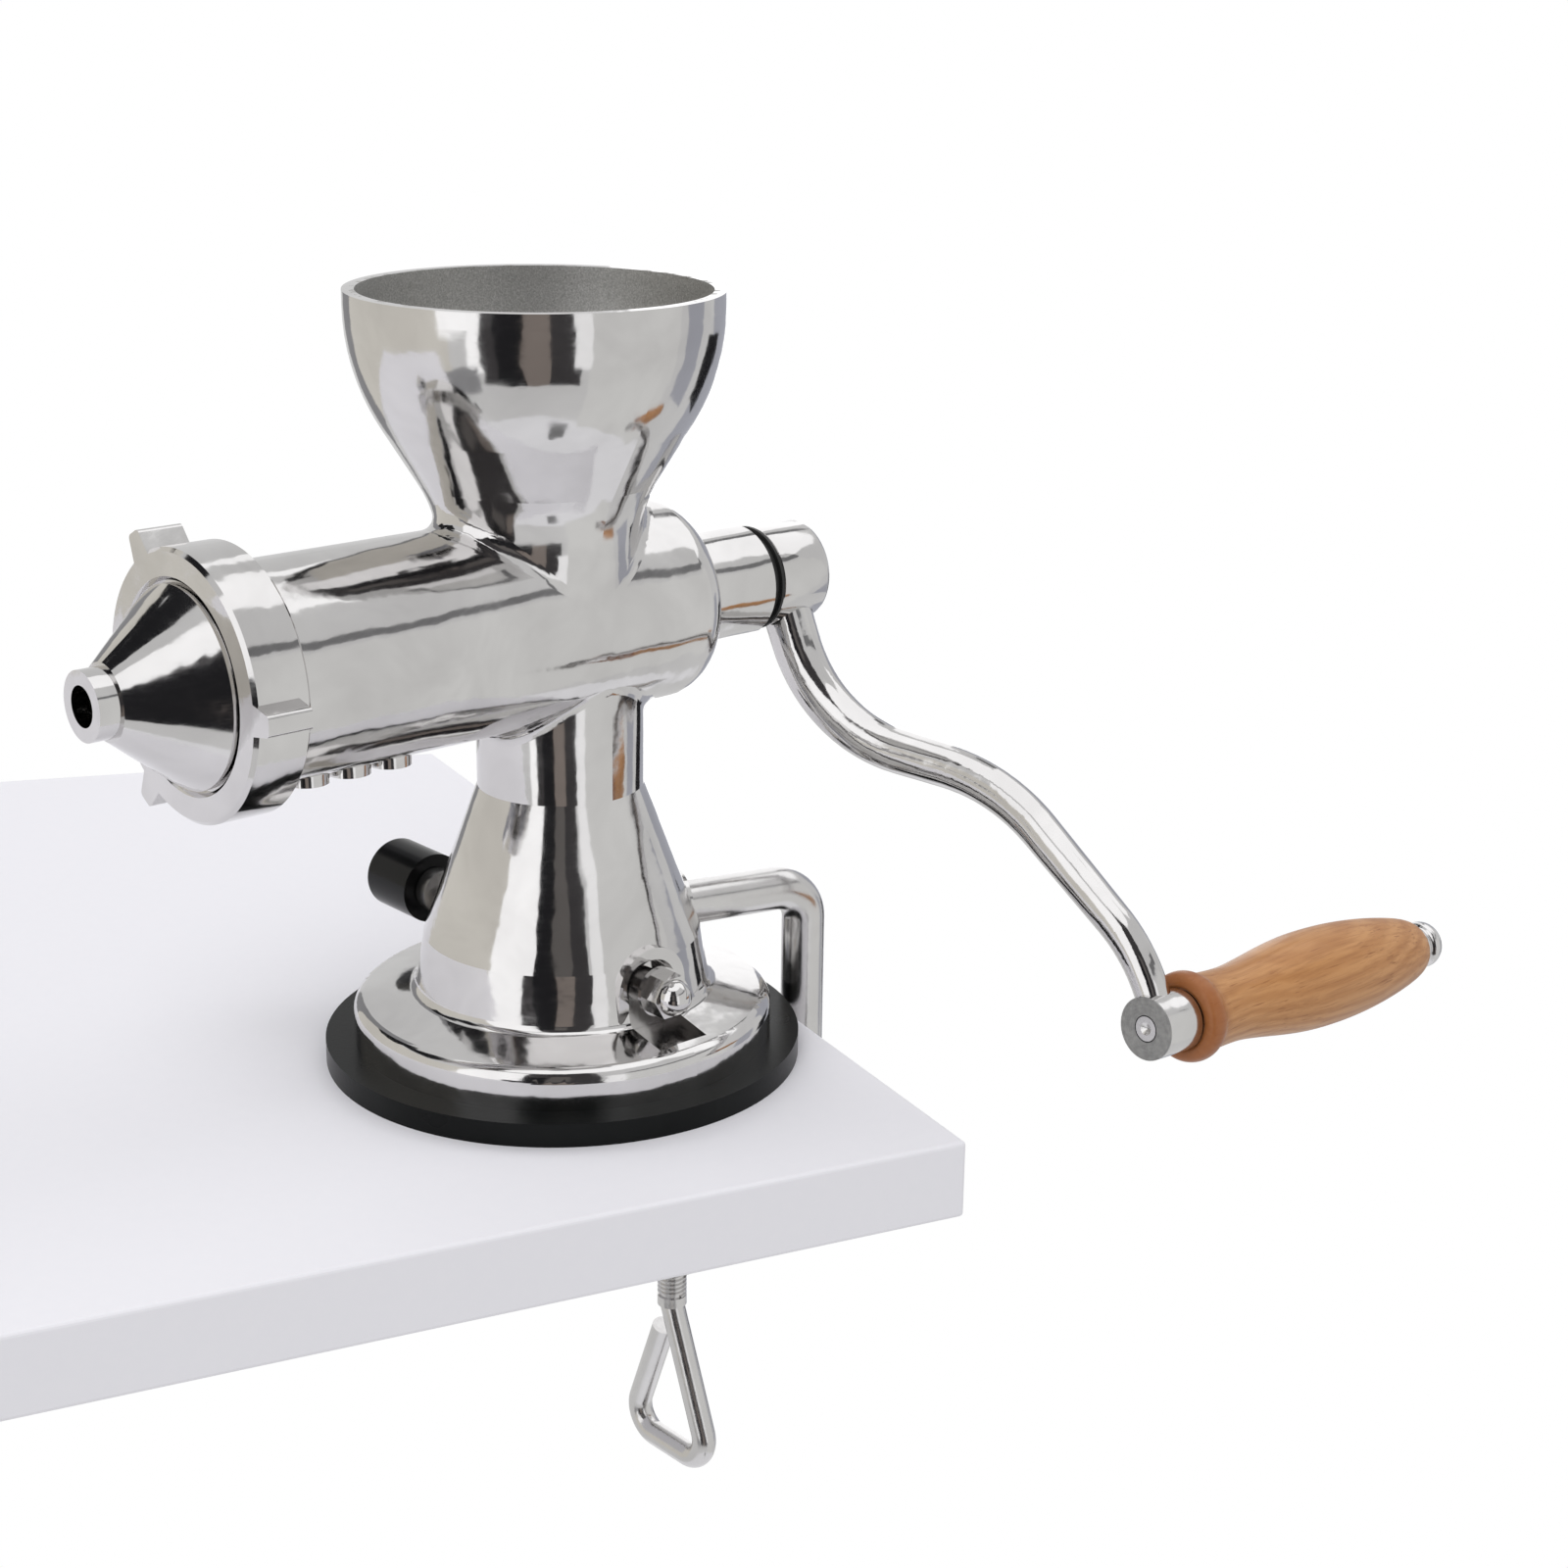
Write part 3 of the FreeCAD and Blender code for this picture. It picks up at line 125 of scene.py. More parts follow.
def steelSurface(tree, look):
    coords = objectCoords(tree)
    alongPolish = objectCoords(tree, look["scratchStretch"], turn=look["scratchTurn"])
    waves = cloud(tree, coords, look["waveScale"], 2.0, 0.45, 0.3)
    ripples = cloud(tree, coords, look["rippleScale"], 2.0, 0.5)
    scratches = cloud(tree, alongPolish, look["scratchScale"], 4.0, 0.6)
    smears = cloud(tree, coords, look["smearScale"], 3.0, 0.6, 0.5)
    normal = bump(tree, waves, look["waveDepth"])
    normal = bump(tree, ripples, look["rippleDepth"], normal)
    normal = bump(tree, scratches, look["scratchDepth"], normal)
    colour = blend(tree, spread(tree, smears, 0.0, 1.0, 0.3, 0.7), rgba(look["dark"]), rgba(look["light"]))
    worn = spread(tree, maths(tree, "ADD", scratches, smears), look["smooth"], look["rough"], 0.7, 1.3)
    return colour, worn, normal


def steel(name, look):
    material, tree, shader = startMaterial(name)
    colour, worn, normal = steelSurface(tree, look)
    shader.inputs["Metallic"].default_value = 1.0
    feed(tree, shader.inputs["Base Color"], colour)
    feed(tree, shader.inputs["Roughness"], worn)
    feed(tree, shader.inputs["Normal"], normal)
    return material


mirrorLook = {
    "dark": (0.60, 0.59, 0.585), "light": (0.70, 0.69, 0.685),
    "smooth": 0.05, "rough": 0.13,
    "waveScale": 26.0, "waveDepth": 0.0011, "rippleScale": 110.0, "rippleDepth": 0.00012,
    "scratchScale": 1.0, "scratchStretch": (260.0, 260.0, 1900.0), "scratchTurn": (0.3, 0.2, 0.0),
    "scratchDepth": 0.0000015, "smearScale": 40.0,
}
satinLook = dict(mirrorLook, smooth=0.16, rough=0.27, waveDepth=0.0004, scratchDepth=0.000008,
                 scratchStretch=(900.0, 900.0, 200.0), scratchTurn=(0.0, 0.0, 0.0))
turnedLook = dict(mirrorLook, smooth=0.12, rough=0.24, waveDepth=0.0, rippleDepth=0.00002,
                  scratchStretch=(300.0, 1500.0, 300.0), scratchTurn=(0.0, 0.0, 0.0))

# The hopper is polished outside and left as cast inside, so one mask splits its material.
castLook = {
    "dark": (0.42, 0.417, 0.405), "light": (0.66, 0.655, 0.64), "rough": 0.46, "roughest": 0.62,
    "speckScale": 2200.0, "speckDepth": 0.00003, "lumpScale": 500.0, "lumpDepth": 0.00006,
    "axisY": -0.0058, "rimRadius": 0.0436, "floorZ": 0.118,
}


def insideHopper(tree, look):
    place = wire(tree, "ShaderNodeTexCoord").outputs["Object"]
    spot = wire(tree, "ShaderNodeSeparateXYZ", {"Vector": place}).outputs
    face = wire(tree, "ShaderNodeTexCoord").outputs["Normal"]
    facing = wire(tree, "ShaderNodeSeparateXYZ", {"Vector": face}).outputs
    offset = maths(tree, "SUBTRACT", spot["Y"], look["axisY"])
    radius = distance(tree, spot["X"], offset)
    outward = maths(tree, "ADD", product(tree, spot["X"], facing["X"]), product(tree, offset, facing["Y"]))
    inward = maths(tree, "LESS_THAN", outward, 0.0)
    under = maths(tree, "LESS_THAN", radius, look["rimRadius"])
    above = maths(tree, "GREATER_THAN", spot["Z"], look["floorZ"])
    return product(tree, product(tree, inward, under), above)


def castBody(name, outside, inside):
    material, tree, shader = startMaterial(name)
    colour, worn, normal = steelSurface(tree, outside)
    mask = insideHopper(tree, inside)
    coords = objectCoords(tree)
    specks = cloud(tree, coords, inside["speckScale"], 2.0, 0.7)
    lumps = cloud(tree, coords, inside["lumpScale"], 3.0, 0.6)
    castColour = blend(tree, spread(tree, specks, 0.0, 1.0, 0.35, 0.7), rgba(inside["dark"]),
                       rgba(inside["light"]))
    castRough = spread(tree, lumps, inside["rough"], inside["roughest"], 0.3, 0.7)
    castNormal = bump(tree, lumps, inside["lumpDepth"])
    castNormal = bump(tree, specks, inside["speckDepth"], castNormal)
    shader.inputs["Metallic"].default_value = 1.0
    feed(tree, shader.inputs["Base Color"], blend(tree, mask, colour, castColour))
    feed(tree, shader.inputs["Roughness"], blendValue(tree, mask, worn, castRough))
    pick = wire(tree, "ShaderNodeMix", data_type="VECTOR")
    feed(tree, pick.inputs[0], mask)
    feed(tree, pick.inputs[4], normal)
    feed(tree, pick.inputs[5], castNormal)
    feed(tree, shader.inputs["Normal"], pick.outputs[1])
    return material


# The end face of the crank's knuckle is turned and matt, and a near-black ring of painted shade lies in the
# seam round the spindle.
knuckleLook = {
    "origin": (0.1272, 0.0857, 0.024), "tilt": -0.0558505, "face": -0.0056, "radius": 0.0083,
    "dark": (0.33, 0.33, 0.325), "light": (0.43, 0.43, 0.42), "seamShade": (0.03, 0.03, 0.03),
    "seamRadius": 0.0031, "seamHalf": 0.0003, "rough": 0.5, "cutScale": 700.0,
    "ringTurn": 9000.0, "ringDepth": 0.00001,
}


def armSteel(name, polish, look):
    material, tree, shader = startMaterial(name)
    colour, worn, normal = steelSurface(tree, polish)
    spot = wire(tree, "ShaderNodeSeparateXYZ", {"Vector": objectCoords(
        tree, centre=look["origin"], turn=(look["tilt"], 0.0, 0.0))}).outputs
    radius = distance(tree, spot["X"], spot["Z"])
    onFace = product(tree, maths(tree, "LESS_THAN", spot["Y"], look["face"]),
                     maths(tree, "LESS_THAN", radius, look["radius"]))
    cuts = cloud(tree, objectCoords(tree), look["cutScale"], 3.0, 0.6)
    faceColour = blend(tree, spread(tree, cuts, 0.0, 1.0, 0.35, 0.65), rgba(look["dark"]), rgba(look["light"]))
    # A near-black band at the seam radius is painted shade for the gap between knuckle and spindle.
    fromSeam = maths(tree, "ABSOLUTE", maths(tree, "SUBTRACT", radius, look["seamRadius"]))
    inSeamShade = maths(tree, "LESS_THAN", fromSeam, look["seamHalf"])
    faceColour = blend(tree, inSeamShade, faceColour, rgba(look["seamShade"]))
    rings = maths(tree, "SINE", product(tree, radius, look["ringTurn"]))
    shader.inputs["Metallic"].default_value = 1.0
    feed(tree, shader.inputs["Base Color"], blend(tree, onFace, colour, faceColour))
    feed(tree, shader.inputs["Roughness"], blendValue(tree, onFace, worn, look["rough"]))
    feed(tree, shader.inputs["Normal"], bump(tree, product(tree, rings, onFace), look["ringDepth"], normal))
    return material


def softBlack(name, look):
    material, tree, shader = startMaterial(name)
    coords = objectCoords(tree)
    grain = cloud(tree, coords, look["grainScale"], 3.0, 0.6)
    patches = cloud(tree, coords, look["patchScale"], 3.0, 0.6, 0.4)
    colour = blend(tree, spread(tree, patches, 0.0, 1.0, 0.35, 0.7), rgba(look["dark"]), rgba(look["light"]))
    feed(tree, shader.inputs["Base Color"], colour)
    feed(tree, shader.inputs["Roughness"], spread(tree, patches, look["smooth"], look["rough"], 0.3, 0.7))
    feed(tree, shader.inputs["Normal"], bump(tree, grain, look["grainDepth"]))
    shader.inputs["Coat Weight"].default_value = look["coat"]
    shader.inputs["Coat Roughness"].default_value = look["coatRough"]
    shader.inputs["Specular IOR Level"].default_value = look["gloss"]
    return material


rubberLook = {"dark": (0.004, 0.0045, 0.0045), "light": (0.008, 0.009, 0.009), "smooth": 0.26, "rough": 0.36,
              "grainScale": 900.0, "grainDepth": 0.00002, "patchScale": 30.0, "coat": 0.0, "coatRough": 0.3,
              "gloss": 0.11}
knobLook = dict(rubberLook, smooth=0.16, rough=0.24, grainScale=400.0, grainDepth=0.00001, coat=0.03,
                coatRough=0.08, light=(0.006, 0.006, 0.007), gloss=0.16)
washerLook = dict(rubberLook, smooth=0.32, rough=0.45, light=(0.03, 0.03, 0.03), gloss=0.4)
nylonLook = dict(rubberLook, dark=(0.70, 0.70, 0.67), light=(0.78, 0.78, 0.75), smooth=0.35, rough=0.5)
sealLook = dict(rubberLook, dark=(0.52, 0.52, 0.50), light=(0.62, 0.62, 0.60), smooth=0.45, rough=0.6)

woodLook = {
    "pale": (0.60, 0.30, 0.115), "middle": (0.48, 0.215, 0.070), "line": (0.27, 0.095, 0.028),
    "bead": (0.33, 0.105, 0.028), "beadEnd": 0.0985, "beadFade": 0.006, "beadShare": 0.85,
    "ringScale": 130.0, "ringWarp": 5.0, "ringDetail": 0.35, "toneScale": 38.0, "lean": (0.0, 0.02, 0.03),
    "fibreStretch": (900.0, 26.0, 900.0), "poreStretch": (1500.0, 70.0, 1500.0),
    "centre": (0.131, 0.1, 0.012), "coat": 0.22, "coatRough": 0.09, "smooth": 0.34, "rough": 0.46,
    "gloss": 0.25, "fibreDepth": 0.000012,
}


def lacqueredWood(name, look):
    material, tree, shader = startMaterial(name)
    coords = objectCoords(tree, centre=look["centre"], turn=look["lean"])
    wander = wire(tree, "ShaderNodeTexWave", {
        "Vector": coords, "Scale": look["ringScale"], "Distortion": look["ringWarp"], "Detail": 3.0,
        "Detail Scale": look["ringDetail"], "Detail Roughness": 0.55}, wave_type="RINGS", rings_direction="Y")
    fibres = cloud(tree, objectCoords(tree, look["fibreStretch"]), 1.0, 4.0, 0.65)
    pores = cloud(tree, objectCoords(tree, look["poreStretch"]), 1.0, 2.0, 0.5)
    tone = cloud(tree, coords, look["toneScale"], 2.0, 0.5)
    colour = blend(tree, spread(tree, wander.outputs["Fac"], 0.0, 0.75, 0.2, 0.9), rgba(look["pale"]),
                   rgba(look["middle"]))
    colour = blend(tree, spread(tree, fibres, 0.0, 0.6, 0.45, 0.75), colour, rgba(look["line"]))
    colour = blend(tree, spread(tree, pores, 0.0, 0.75, 0.62, 0.72), colour, rgba(look["line"]))
    colour = blend(tree, spread(tree, tone, 0.0, 0.35, 0.35, 0.7), colour, rgba(look["middle"]))
    place = wire(tree, "ShaderNodeTexCoord").outputs["Object"]
    along = wire(tree, "ShaderNodeSeparateXYZ", {"Vector": place}).outputs["Y"]
    half = look["beadFade"] / 2
    dark = spread(tree, along, look["beadShare"], 0.0, look["beadEnd"] - half, look["beadEnd"] + half)
    colour = blend(tree, dark, colour, rgba(look["bead"]))
    feed(tree, shader.inputs["Base Color"], colour)
    feed(tree, shader.inputs["Roughness"], spread(tree, fibres, look["smooth"], look["rough"], 0.3, 0.7))
    feed(tree, shader.inputs["Normal"], bump(tree, fibres, look["fibreDepth"]))
    shader.inputs["Coat Weight"].default_value = look["coat"]
    shader.inputs["Coat Roughness"].default_value = look["coatRough"]
    shader.inputs["Specular IOR Level"].default_value = look["gloss"]
    return material


finishes = {
    "mirror": steel("mirrorSteel", mirrorLook),
    "satin": steel("satinSteel", satinLook),
    "turned": steel("turnedSteel", turnedLook),
    "arm": armSteel("armSteel", mirrorLook, knuckleLook),
    "cast": castBody("castHopperSteel", mirrorLook, castLook),
    "rubber": softBlack("cupRubber", rubberLook),
    "knob": softBlack("knobPlastic", knobLook),
    "washer": softBlack("washerPlastic", washerLook),
    "nylon": softBlack("bushNylon", nylonLook),
    "seal": softBlack("sealRubber", sealLook),
    "wood": lacqueredWood("gripWood", woodLook),
}
nodeFinish = {
    "juicer_body": "cast", "rear_bush": "nylon", "thrust_washer": "washer", "inner_washer": "nylon",
    "juice_screen": "turned", "front_gasket": "seal", "suction_cup": "rubber", "outlet_cone": "mirror",
    "ring_nut": "mirror", "auger": "satin", "crank_arm": "arm", "grip_spindle": "turned",
    "wooden_grip": "wood", "grip_cap": "turned", "cam_shaft": "turned", "lever_arm": "satin",
    "lever_knob": "knob", "shaft_spacer": "turned", "cam_washer": "turned", "acorn_nut": "mirror",
    "cup_plate": "turned", "cup_stud": "turned", "clamp_frame": "satin", "clamp_pad": "satin",
    "clamp_screw": "satin",
}
for nodeName, finish in nodeFinish.items():
    for materialSlot in nodes[nodeName].material_slots:
        materialSlot.material = finishes[finish]
print("finishes on", len(nodeFinish), "nodes")


def newObject(name, shape, material, smooth=False):
    mesh = bpy.data.meshes.new(name)
    shape.to_mesh(mesh)
    shape.free()
    mesh.materials.append(material)
    for face in mesh.polygons:
        face.use_smooth = smooth
    made = bpy.data.objects.new(name, mesh)
    bpy.context.scene.collection.objects.link(made)
    return made


def cornersOf(parts):
    return [part for part in parts if isinstance(part, bmesh.types.BMVert)]


def sharpEdges(piece, angle=math.radians(28)):
    shape = bmesh.new()
    shape.from_mesh(piece.data)
    for edge in shape.edges:
        edge.smooth = edge.calc_face_angle(0.0) < angle
    shape.to_mesh(piece.data)
    shape.free()


# A frame whose Z runs along a part's axis, for shapes that are spun about it.
def alongAxis(origin, direction):
    return Matrix.Translation(origin) @ Vector(direction).to_track_quat("Z", "Y").to_matrix().to_4x4()


# A closed profile of (distance along the axis, radius) in millimetres, spun all the way round.
def spunShape(profile, placed, steps=48):
    shape = bmesh.new()
    ring = [shape.verts.new((radius / 1000, 0.0, along / 1000)) for along, radius in profile]
    edges = [shape.edges.new((first, second)) for first, second in zip(ring, ring[1:] + ring[:1])]
    bmesh.ops.spin(shape, geom=ring + edges, cent=(0, 0, 0), axis=(0, 0, 1), dvec=(0, 0, 0),
                   angle=2 * math.pi, steps=steps, use_merge=True)
    bmesh.ops.recalc_face_normals(shape, faces=shape.faces[:])
    bmesh.ops.transform(shape, matrix=placed, verts=shape.verts[:])
    return shape


def softened(piece, levels=2):
    smooth = piece.modifiers.new("smooth", "SUBSURF")
    smooth.levels = levels
    smooth.render_levels = levels


grip = {
    "origin": (0.1272, 0.0857, 0.024), "axis": (0.0, 0.9984407, -0.0558215), "steps": 40,
    "profile": [  # distance along the spindle and radius, in millimetres
        (6.4, 3.3), (6.4, 9.6), (7.2, 11.0), (9.0, 11.6), (11.0, 11.4), (12.4, 10.4), (13.4, 9.9),
        (18.0, 9.6), (24.0, 9.4), (29.0, 9.7), (37.0, 10.8), (46.0, 12.1), (54.0, 12.8), (61.0, 12.9),
        (68.0, 12.8), (76.0, 12.3), (84.0, 11.4), (91.0, 10.3), (96.5, 9.2), (100.0, 8.2), (102.0, 7.2),
        (102.8, 5.8), (102.8, 3.3),
    ],
}


def turnedGrip(look):
    shape = spunShape(look["profile"], alongAxis(look["origin"], look["axis"]), look["steps"])
    piece = newObject("turnedGrip", shape, finishes["wood"], smooth=True)
    softened(piece)
    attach(piece, "grip")
    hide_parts("wooden_grip")


cap = dict(grip, profile=[
    (102.9, 3.25), (102.9, 5.3), (103.5, 5.8), (104.6, 5.8), (105.1, 5.2), (105.5, 4.9), (106.0, 5.2),
    (106.3, 6.0), (107.2, 6.25), (108.4, 6.2), (109.6, 5.6), (110.3, 4.6), (110.6, 3.25),
])


def buttonCap(look):
    shape = spunShape(look["profile"], alongAxis(look["origin"], look["axis"]), look["steps"])
    piece = newObject("buttonCap", shape, finishes["mirror"], smooth=True)
    softened(piece)
    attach(piece, "crank")
    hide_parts("grip_cap")


turnedGrip(grip)
buttonCap(cap)

# The crank's hub is nearly as thick as the boss beside it. Sizes are in millimetres, but for barrelAxis.
barrelAxis = alongAxis((0.0, 0.0, 0.1152), (0.0, 1.0, 0.0))
hub = {"start": 63.18, "end": 80.22, "radius": 13.1, "inner": 9.0, "edge": 0.4, "round": 2.0, "steps": 96}


def hubSleeve(look):
    start, end, radius, edge = look["start"], look["end"], look["radius"], look["edge"]
    turned = look["round"]
    profile = [(start, look["inner"]), (start, radius - edge), (start + edge, radius), (end - turned, radius),
               (end - 0.6 * turned, radius - 0.14 * turned), (end - 0.2 * turned, radius - 0.55 * turned),
               (end, radius - turned), (end, look["inner"])]
    shape = spunShape(profile, barrelAxis, look["steps"])
    piece = newObject("hubSleeve", shape, finishes["mirror"], smooth=True)
    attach(piece, "crank")
    sharpEdges(piece)


# The washer between boss and hub has a groove round its rim.
washer = {"start": 59.02, "end": 63.0, "radius": 13.5, "groove": 12.6, "inner": 8.2, "edge": 0.2, "rim": 1.0,
          "slope": 0.3, "steps": 96}


def groovedWasher(look):
    start, end, radius, edge = look["start"], look["end"], look["radius"], look["edge"]
    rim, floor = look["rim"], look["rim"] + look["slope"]
    profile = [(start, look["inner"]), (start, radius - edge), (start + edge, radius), (start + rim, radius),
               (start + floor, look["groove"]), (end - floor, look["groove"]), (end - rim, radius),
               (end - edge, radius), (end, radius - edge), (end, look["inner"])]
    shape = spunShape(profile, barrelAxis, look["steps"])
    piece = newObject("groovedWasher", shape, finishes["washer"], smooth=True)
    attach(piece, "base")
    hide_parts("thrust_washer")
    sharpEdges(piece)


hubSleeve(hub)
groovedWasher(washer)

# The acorn nut's recess goes through the casting's wall, so a plate closes it behind.
recess = {"face": 0.03155, "depth": 0.003, "height": 0.0275, "half": 0.0105, "up": 0.009, "down": 0.0145,
          "hole": 0.0035, "segments": 48, "least": 0.000001}


def recessBack(look):
    shape = bmesh.new()
    bmesh.ops.create_circle(shape, segments=look["segments"], radius=look["hole"], cap_ends=False)
    made = bmesh.ops.extrude_edge_only(shape, edges=shape.edges[:])["geom"]
    for corner in cornersOf(made):  # the hole's ring is pulled out to the plate's four sides
        ray = corner.co.normalized()
        across = look["half"] / max(abs(ray.y), look["least"])
        reach = (look["up"] if ray.x > 0 else look["down"]) / max(abs(ray.x), look["least"])
        corner.co = ray * min(across, reach)
    made = bmesh.ops.extrude_face_region(shape, geom=shape.faces[:])["geom"]
    bmesh.ops.translate(shape, vec=(0.0, 0.0, look["depth"]), verts=cornersOf(made))
    bmesh.ops.recalc_face_normals(shape, faces=shape.faces[:])
    upright = Matrix(((0, 0, -1, look["face"]), (0, 1, 0, 0), (1, 0, 0, look["height"]), (0, 0, 0, 1)))
    bmesh.ops.transform(shape, matrix=upright, verts=shape.verts[:])
    piece = newObject("recessBack", shape, finishes["satin"])
    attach(piece, "base")


recessBack(recess)

screw = {
    "centre": (0.0080234, 0.0299437), "top": -0.0228, "bottom": -0.0792, "cut": -0.0790,
    "core": 0.00345, "root": 0.0033, "crest": 0.0040, "rootHalf": 0.00058, "crestHalf": 0.00014,
    "pitch": 0.00125, "perTurn": 24, "segments": 48, "merge": 0.000002,
}


def threadedScrew(look):
    x, y = look["centre"]
    shape = bmesh.new()
    shape.from_mesh(nodes["clamp_screw"].data)  # the loop handle is kept, the stem above it is made anew
    bmesh.ops.remove_doubles(shape, verts=shape.verts[:], dist=look["merge"])
    bmesh.ops.bisect_plane(shape, geom=shape.verts[:] + shape.edges[:] + shape.faces[:],
                           plane_co=(0.0, 0.0, look["cut"]), plane_no=(0.0, 0.0, 1.0), clear_outer=True)
    bmesh.ops.holes_fill(shape, edges=[edge for edge in shape.edges if edge.is_boundary], sides=0)
    length = look["top"] - look["bottom"]
    core = Matrix.Translation((x, y, (look["top"] + look["bottom"]) / 2))
    bmesh.ops.create_cone(shape, cap_ends=True, segments=look["segments"], radius1=look["core"],
                          radius2=look["core"], depth=length, matrix=core)
    low = look["bottom"] + look["rootHalf"]
    corners = [(look["root"], -look["rootHalf"]), (look["crest"], -look["crestHalf"]),
               (look["crest"], look["crestHalf"]), (look["root"], look["rootHalf"])]
    ring = [shape.verts.new((x + out, y, low + up)) for out, up in corners]
    edges = [shape.edges.new((first, second)) for first, second in zip(ring, ring[1:] + ring[:1])]
    steps = math.floor((length - 2 * look["rootHalf"]) / look["pitch"] * look["perTurn"])
    made = bmesh.ops.spin(shape, geom=ring + edges, cent=(x, y, 0.0), axis=(0, 0, 1),
                          dvec=(0, 0, look["pitch"] / look["perTurn"]),
                          angle=2 * math.pi * steps / look["perTurn"], steps=steps, use_merge=False)
    bmesh.ops.contextual_create(shape, geom=ring)
    bmesh.ops.contextual_create(shape, geom=cornersOf(made["geom_last"]))
    bmesh.ops.recalc_face_normals(shape, faces=shape.faces[:])
    piece = newObject("threadedScrew", shape, finishes["satin"], smooth=True)
    sharpEdges(piece)
    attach(piece, "screw")
    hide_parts("clamp_screw")
    return steps


print("pieces made, with", threadedScrew(screw), "steps of thread")

table = {
    "outline": [(0.1080, 0.0388), (-0.2332, 0.1214), (-0.5000, -0.4110), (-0.0890, -0.6330)],
    "thickness": 0.020, "edge": 0.0010, "colour": (0.91, 0.90, 0.945), "shade": (0.885, 0.88, 0.93),
    "grainScale": 300.0, "rough": 0.55, "gloss": 0.3, "edgeSegments": 3,
}


def tableSlab(look):
    material, tree, shader = startMaterial("tableTop")
    grain = cloud(tree, objectCoords(tree), look["grainScale"], 3.0, 0.6)
    feed(tree, shader.inputs["Base Color"], blend(tree, grain, rgba(look["colour"]), rgba(look["shade"])))
    shader.inputs["Roughness"].default_value = look["rough"]
    shader.inputs["Specular IOR Level"].default_value = look["gloss"]
    shape = bmesh.new()
    top = shape.faces.new([shape.verts.new((x, y, 0.0)) for x, y in look["outline"]])
    made = bmesh.ops.extrude_face_region(shape, geom=[top])["geom"]
    bmesh.ops.translate(shape, vec=(0.0, 0.0, -look["thickness"]), verts=cornersOf(made))
    bmesh.ops.bevel(shape, geom=shape.edges[:], offset=look["edge"], segments=look["edgeSegments"],
                    profile=0.5, material=-1, affect="EDGES")
    bmesh.ops.recalc_face_normals(shape, faces=shape.faces[:])
    newObject("tableSlab", shape, material)


tableSlab(table)

# A tent round the set that shows only in gloss, as on a maker's light table. Each panel is
# (from azimuth, to azimuth, from elevation, to elevation, tone) in degrees from +X, and the
# last that covers a spot counts.
tent = {
    "radius": 2.0, "step": 3,
    "tones": {
        "cloth": (0.72, 0.72, 0.72), "white": (1.35, 1.35, 1.36), "bright": (1.12, 1.12, 1.13),
        "lower": (0.92, 0.92, 0.95), "cream": (0.74, 0.715, 0.66), "pale": (0.78, 0.78, 0.77),
        "grey": (0.44, 0.45, 0.50), "dim": (0.30, 0.30, 0.31), "shade": (0.21, 0.21, 0.215),
        "brown": (0.25, 0.215, 0.195), "dusk": (0.14, 0.13, 0.125), "dark": (0.055, 0.052, 0.054),
        "black": (0.018, 0.018, 0.020),
    },
    "panels": [
        (-180, 180, 60, 90, "white"),
        (-180, 180, -90, -48, "lower"),
        (-180, -90, -20, 36, "cream"),
        (-96, -60, -6, 54, "white"),
        (-78, -66, -24, 0, "white"),
        (-102, -72, -33, -21, "dim"),
        (-69, -9, -30, 0, "dark"),
        (-46, -30, -30, 0, "brown"),
        (-60, -18, 0, 60, "dark"),
        (-60, -46, -30, 30, "black"),
        (-45, -33, 6, 36, "dusk"),
        (-15, -3, -21, 27, "bright"),
        (-3, 60, -51, 27, "pale"),
        (0, 60, 30, 36, "shade"),
        (60, 114, 36, 60, "white"),
        (114, 120, 30, 48, "shade"),
        (66, 81, -27, 3, "grey"),
        (96, 126, -36, 21, "grey"),
        (90, 105, -21, -6, "black"),
        (126, 141, -30, 51, "white"),
        (-180, -159, 30, 48, "black"),
        (-159, -123, 39, 57, "black"),
        (165, 180, -21, 42, "dim"),
        (-27, -12, -60, -51, "shade"),
    ],
}


def toneMaterial(name, colour):
    material, tree, shader = startMaterial(name + "Panel")
    glow = wire(tree, "ShaderNodeEmission", {"Color": rgba(colour), "Strength": 1.0})
    tree.links.new(glow.outputs[0], tree.nodes["Material Output"].inputs["Surface"])
    return material


def toneAt(look, azimuth, elevation):
    chosen = "cloth"
    for left, right, low, high, tone in look["panels"]:
        turned = (azimuth - left) % 360 + left
        if left <= turned <= right and low <= elevation <= high:
            chosen = tone
    return chosen


def studioTent(look):
    tones = list(look["tones"])
    shape = bmesh.new()
    around = 360 // look["step"]
    bmesh.ops.create_uvsphere(shape, u_segments=around, v_segments=around // 2, radius=look["radius"])
    for face in shape.faces:
        middle = face.calc_center_median()
        flat = math.hypot(middle.x, middle.y)
        azimuth = math.degrees(math.atan2(middle.y, middle.x))
        tone = toneAt(look, azimuth, math.degrees(math.atan2(middle.z, flat)))
        face.material_index = tones.index(tone)
    card = newObject("studioTent", shape, toneMaterial(tones[0], look["tones"][tones[0]]))
    for name in tones[1:]:
        card.data.materials.append(toneMaterial(name, look["tones"][name]))
    card.visible_camera = False
    card.visible_diffuse = False
    card.visible_shadow = False
    card.visible_transmission = False


studioTent(tent)


world = {"strength": 0.62, "seenStrength": 1.0, "colour": (1.0, 1.0, 1.0)}


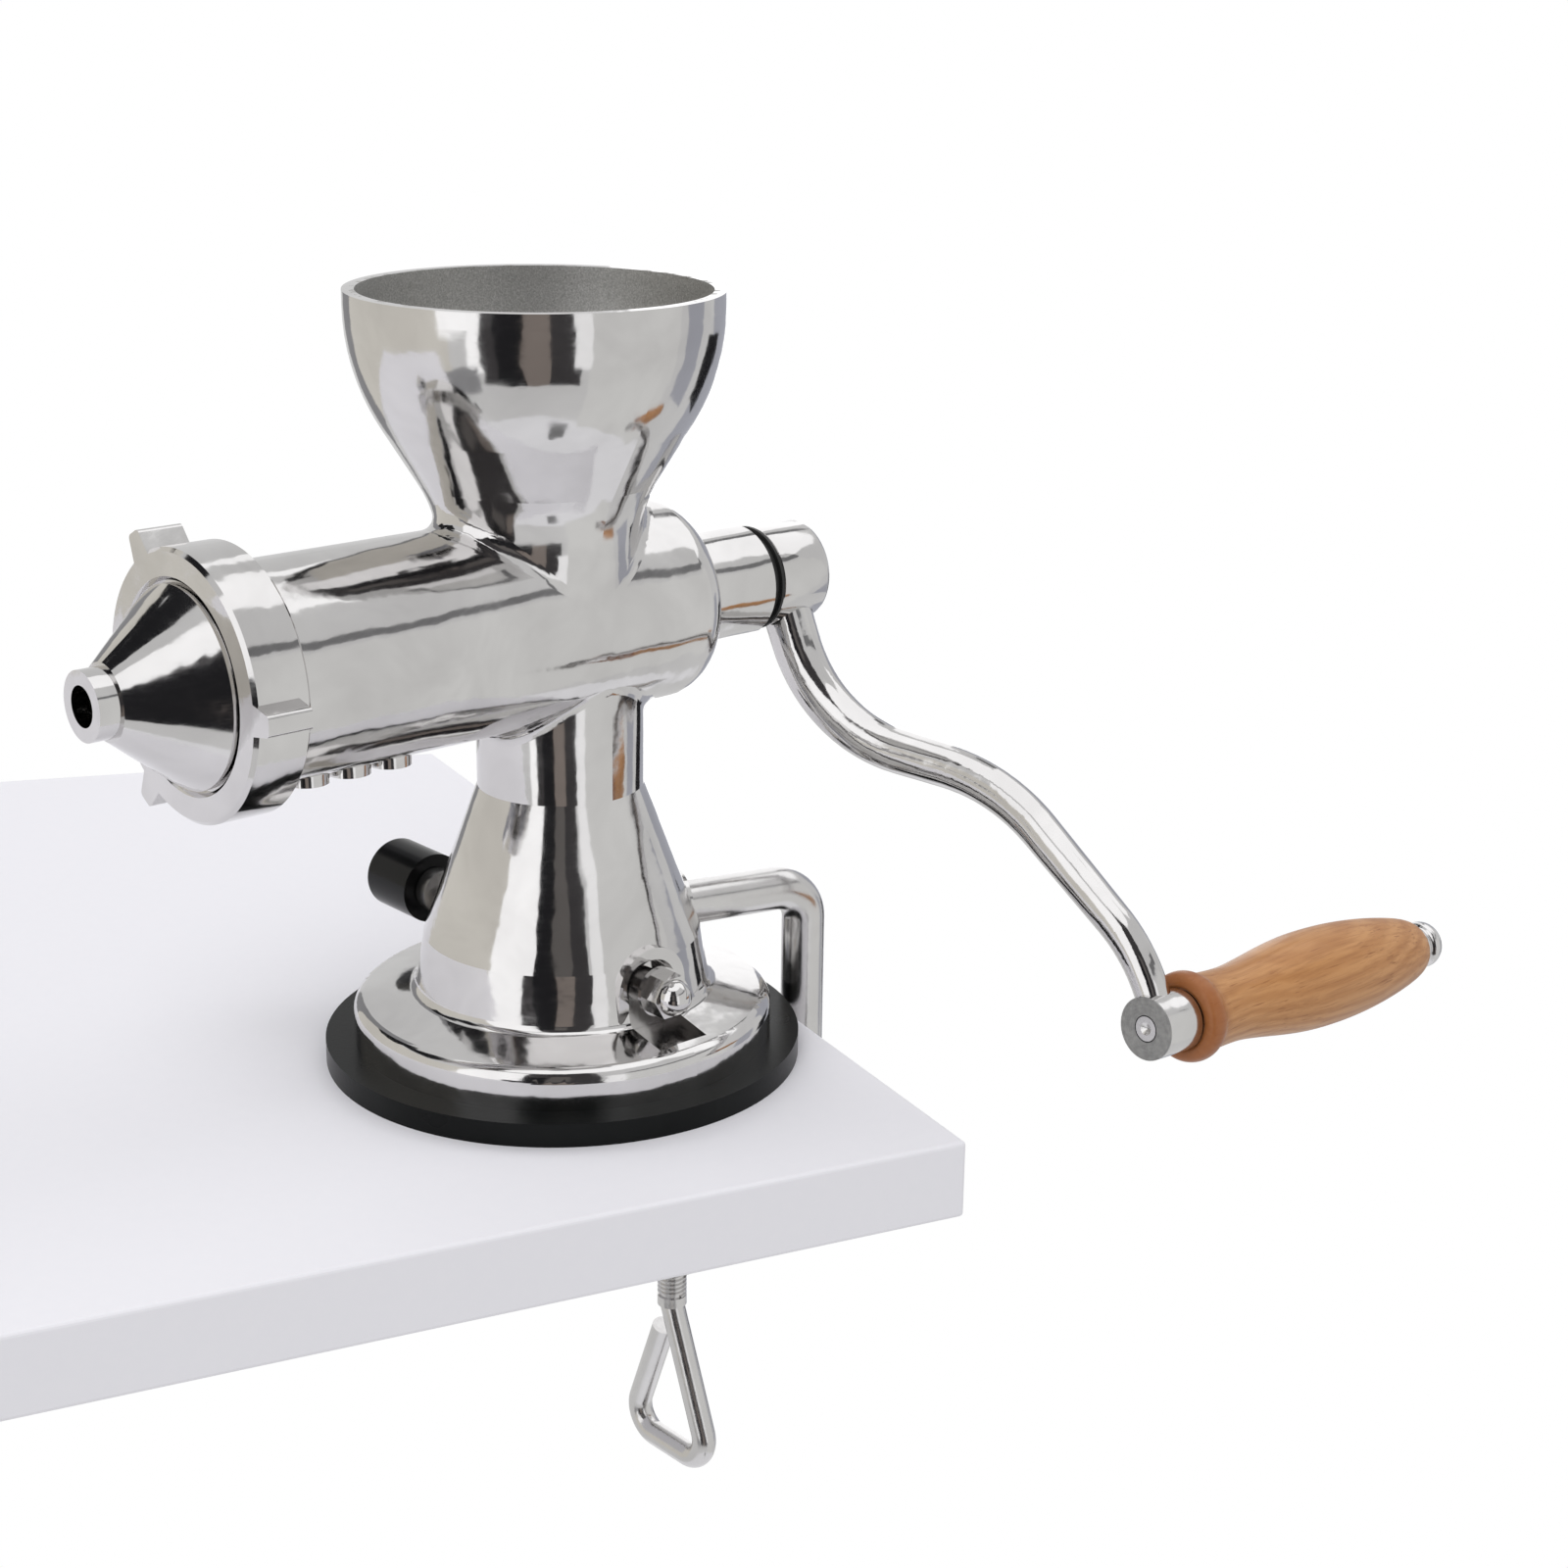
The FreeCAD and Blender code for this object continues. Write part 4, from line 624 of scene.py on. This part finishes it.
def whiteWorld(look):
    studio = bpy.data.worlds.new("studioWorld")
    studio.use_nodes = True
    tree = studio.node_tree
    tree.nodes.clear()
    path = wire(tree, "ShaderNodeLightPath").outputs
    seen = maths(tree, "MAXIMUM", path["Is Camera Ray"], path["Is Glossy Ray"])
    seen = maths(tree, "MAXIMUM", seen, path["Is Transmission Ray"])
    level = blendValue(tree, seen, look["strength"], look["seenStrength"])
    back = wire(tree, "ShaderNodeBackground", {"Color": rgba(look["colour"]), "Strength": level})
    out = wire(tree, "ShaderNodeOutputWorld")
    tree.links.new(back.outputs[0], out.inputs["Surface"])
    bpy.context.scene.world = studio


whiteWorld(world)

lamps = {
    "keyLamp": {"place": (0.9, -1.3, 1.9), "size": 1.4, "power": 16.0},
    "fillLamp": {"place": (-1.6, -0.6, 1.3), "size": 1.2, "power": 7.0},
    "backLamp": {"place": (0.4, 1.6, 1.5), "size": 1.2, "power": 6.0},
}


lampTarget = Vector((0.0, 0.0, 0.1))


def softLamp(name, look):
    data = bpy.data.lights.new(name, "AREA")
    data.shape = "DISK"
    data.size = look["size"]
    data.energy = look["power"]
    lamp = bpy.data.objects.new(name, data)
    lamp.location = look["place"]
    lamp.rotation_euler = (lampTarget - Vector(look["place"])).to_track_quat("-Z", "Y").to_euler()
    lamp.visible_camera = False
    lamp.visible_glossy = False
    bpy.context.scene.collection.objects.link(lamp)


for lampName, lampLook in lamps.items():
    softLamp(lampName, lampLook)

photoCamera = {
    "place": (0.5128, -0.3902, 0.2786), "azimuth": math.radians(47.74), "pitch": math.radians(17.82),
    "roll": math.radians(0.86), "focalPixels": 2740.0, "framePixels": 1600.0, "sensor": 36.0,
    "nearest": 0.01, "farthest": 20.0,
}


def addCamera(look):
    data = bpy.data.cameras.new("photoCamera")
    data.sensor_width = look["sensor"]
    data.lens = look["focalPixels"] * look["sensor"] / look["framePixels"]
    data.clip_start = look["nearest"]
    data.clip_end = look["farthest"]
    camera = bpy.data.objects.new("photoCamera", data)
    turn = Matrix.Rotation(look["azimuth"], 4, "Z") @ Matrix.Rotation(math.pi / 2 - look["pitch"], 4, "X")
    turn = turn @ Matrix.Rotation(look["roll"], 4, "Z")
    camera.location = look["place"]
    camera.rotation_euler = turn.to_euler()
    bpy.context.scene.collection.objects.link(camera)
    bpy.context.scene.camera = camera


addCamera(photoCamera)
bpy.context.scene.view_settings.view_transform = "Standard"
print("stage, lamps and camera are in")
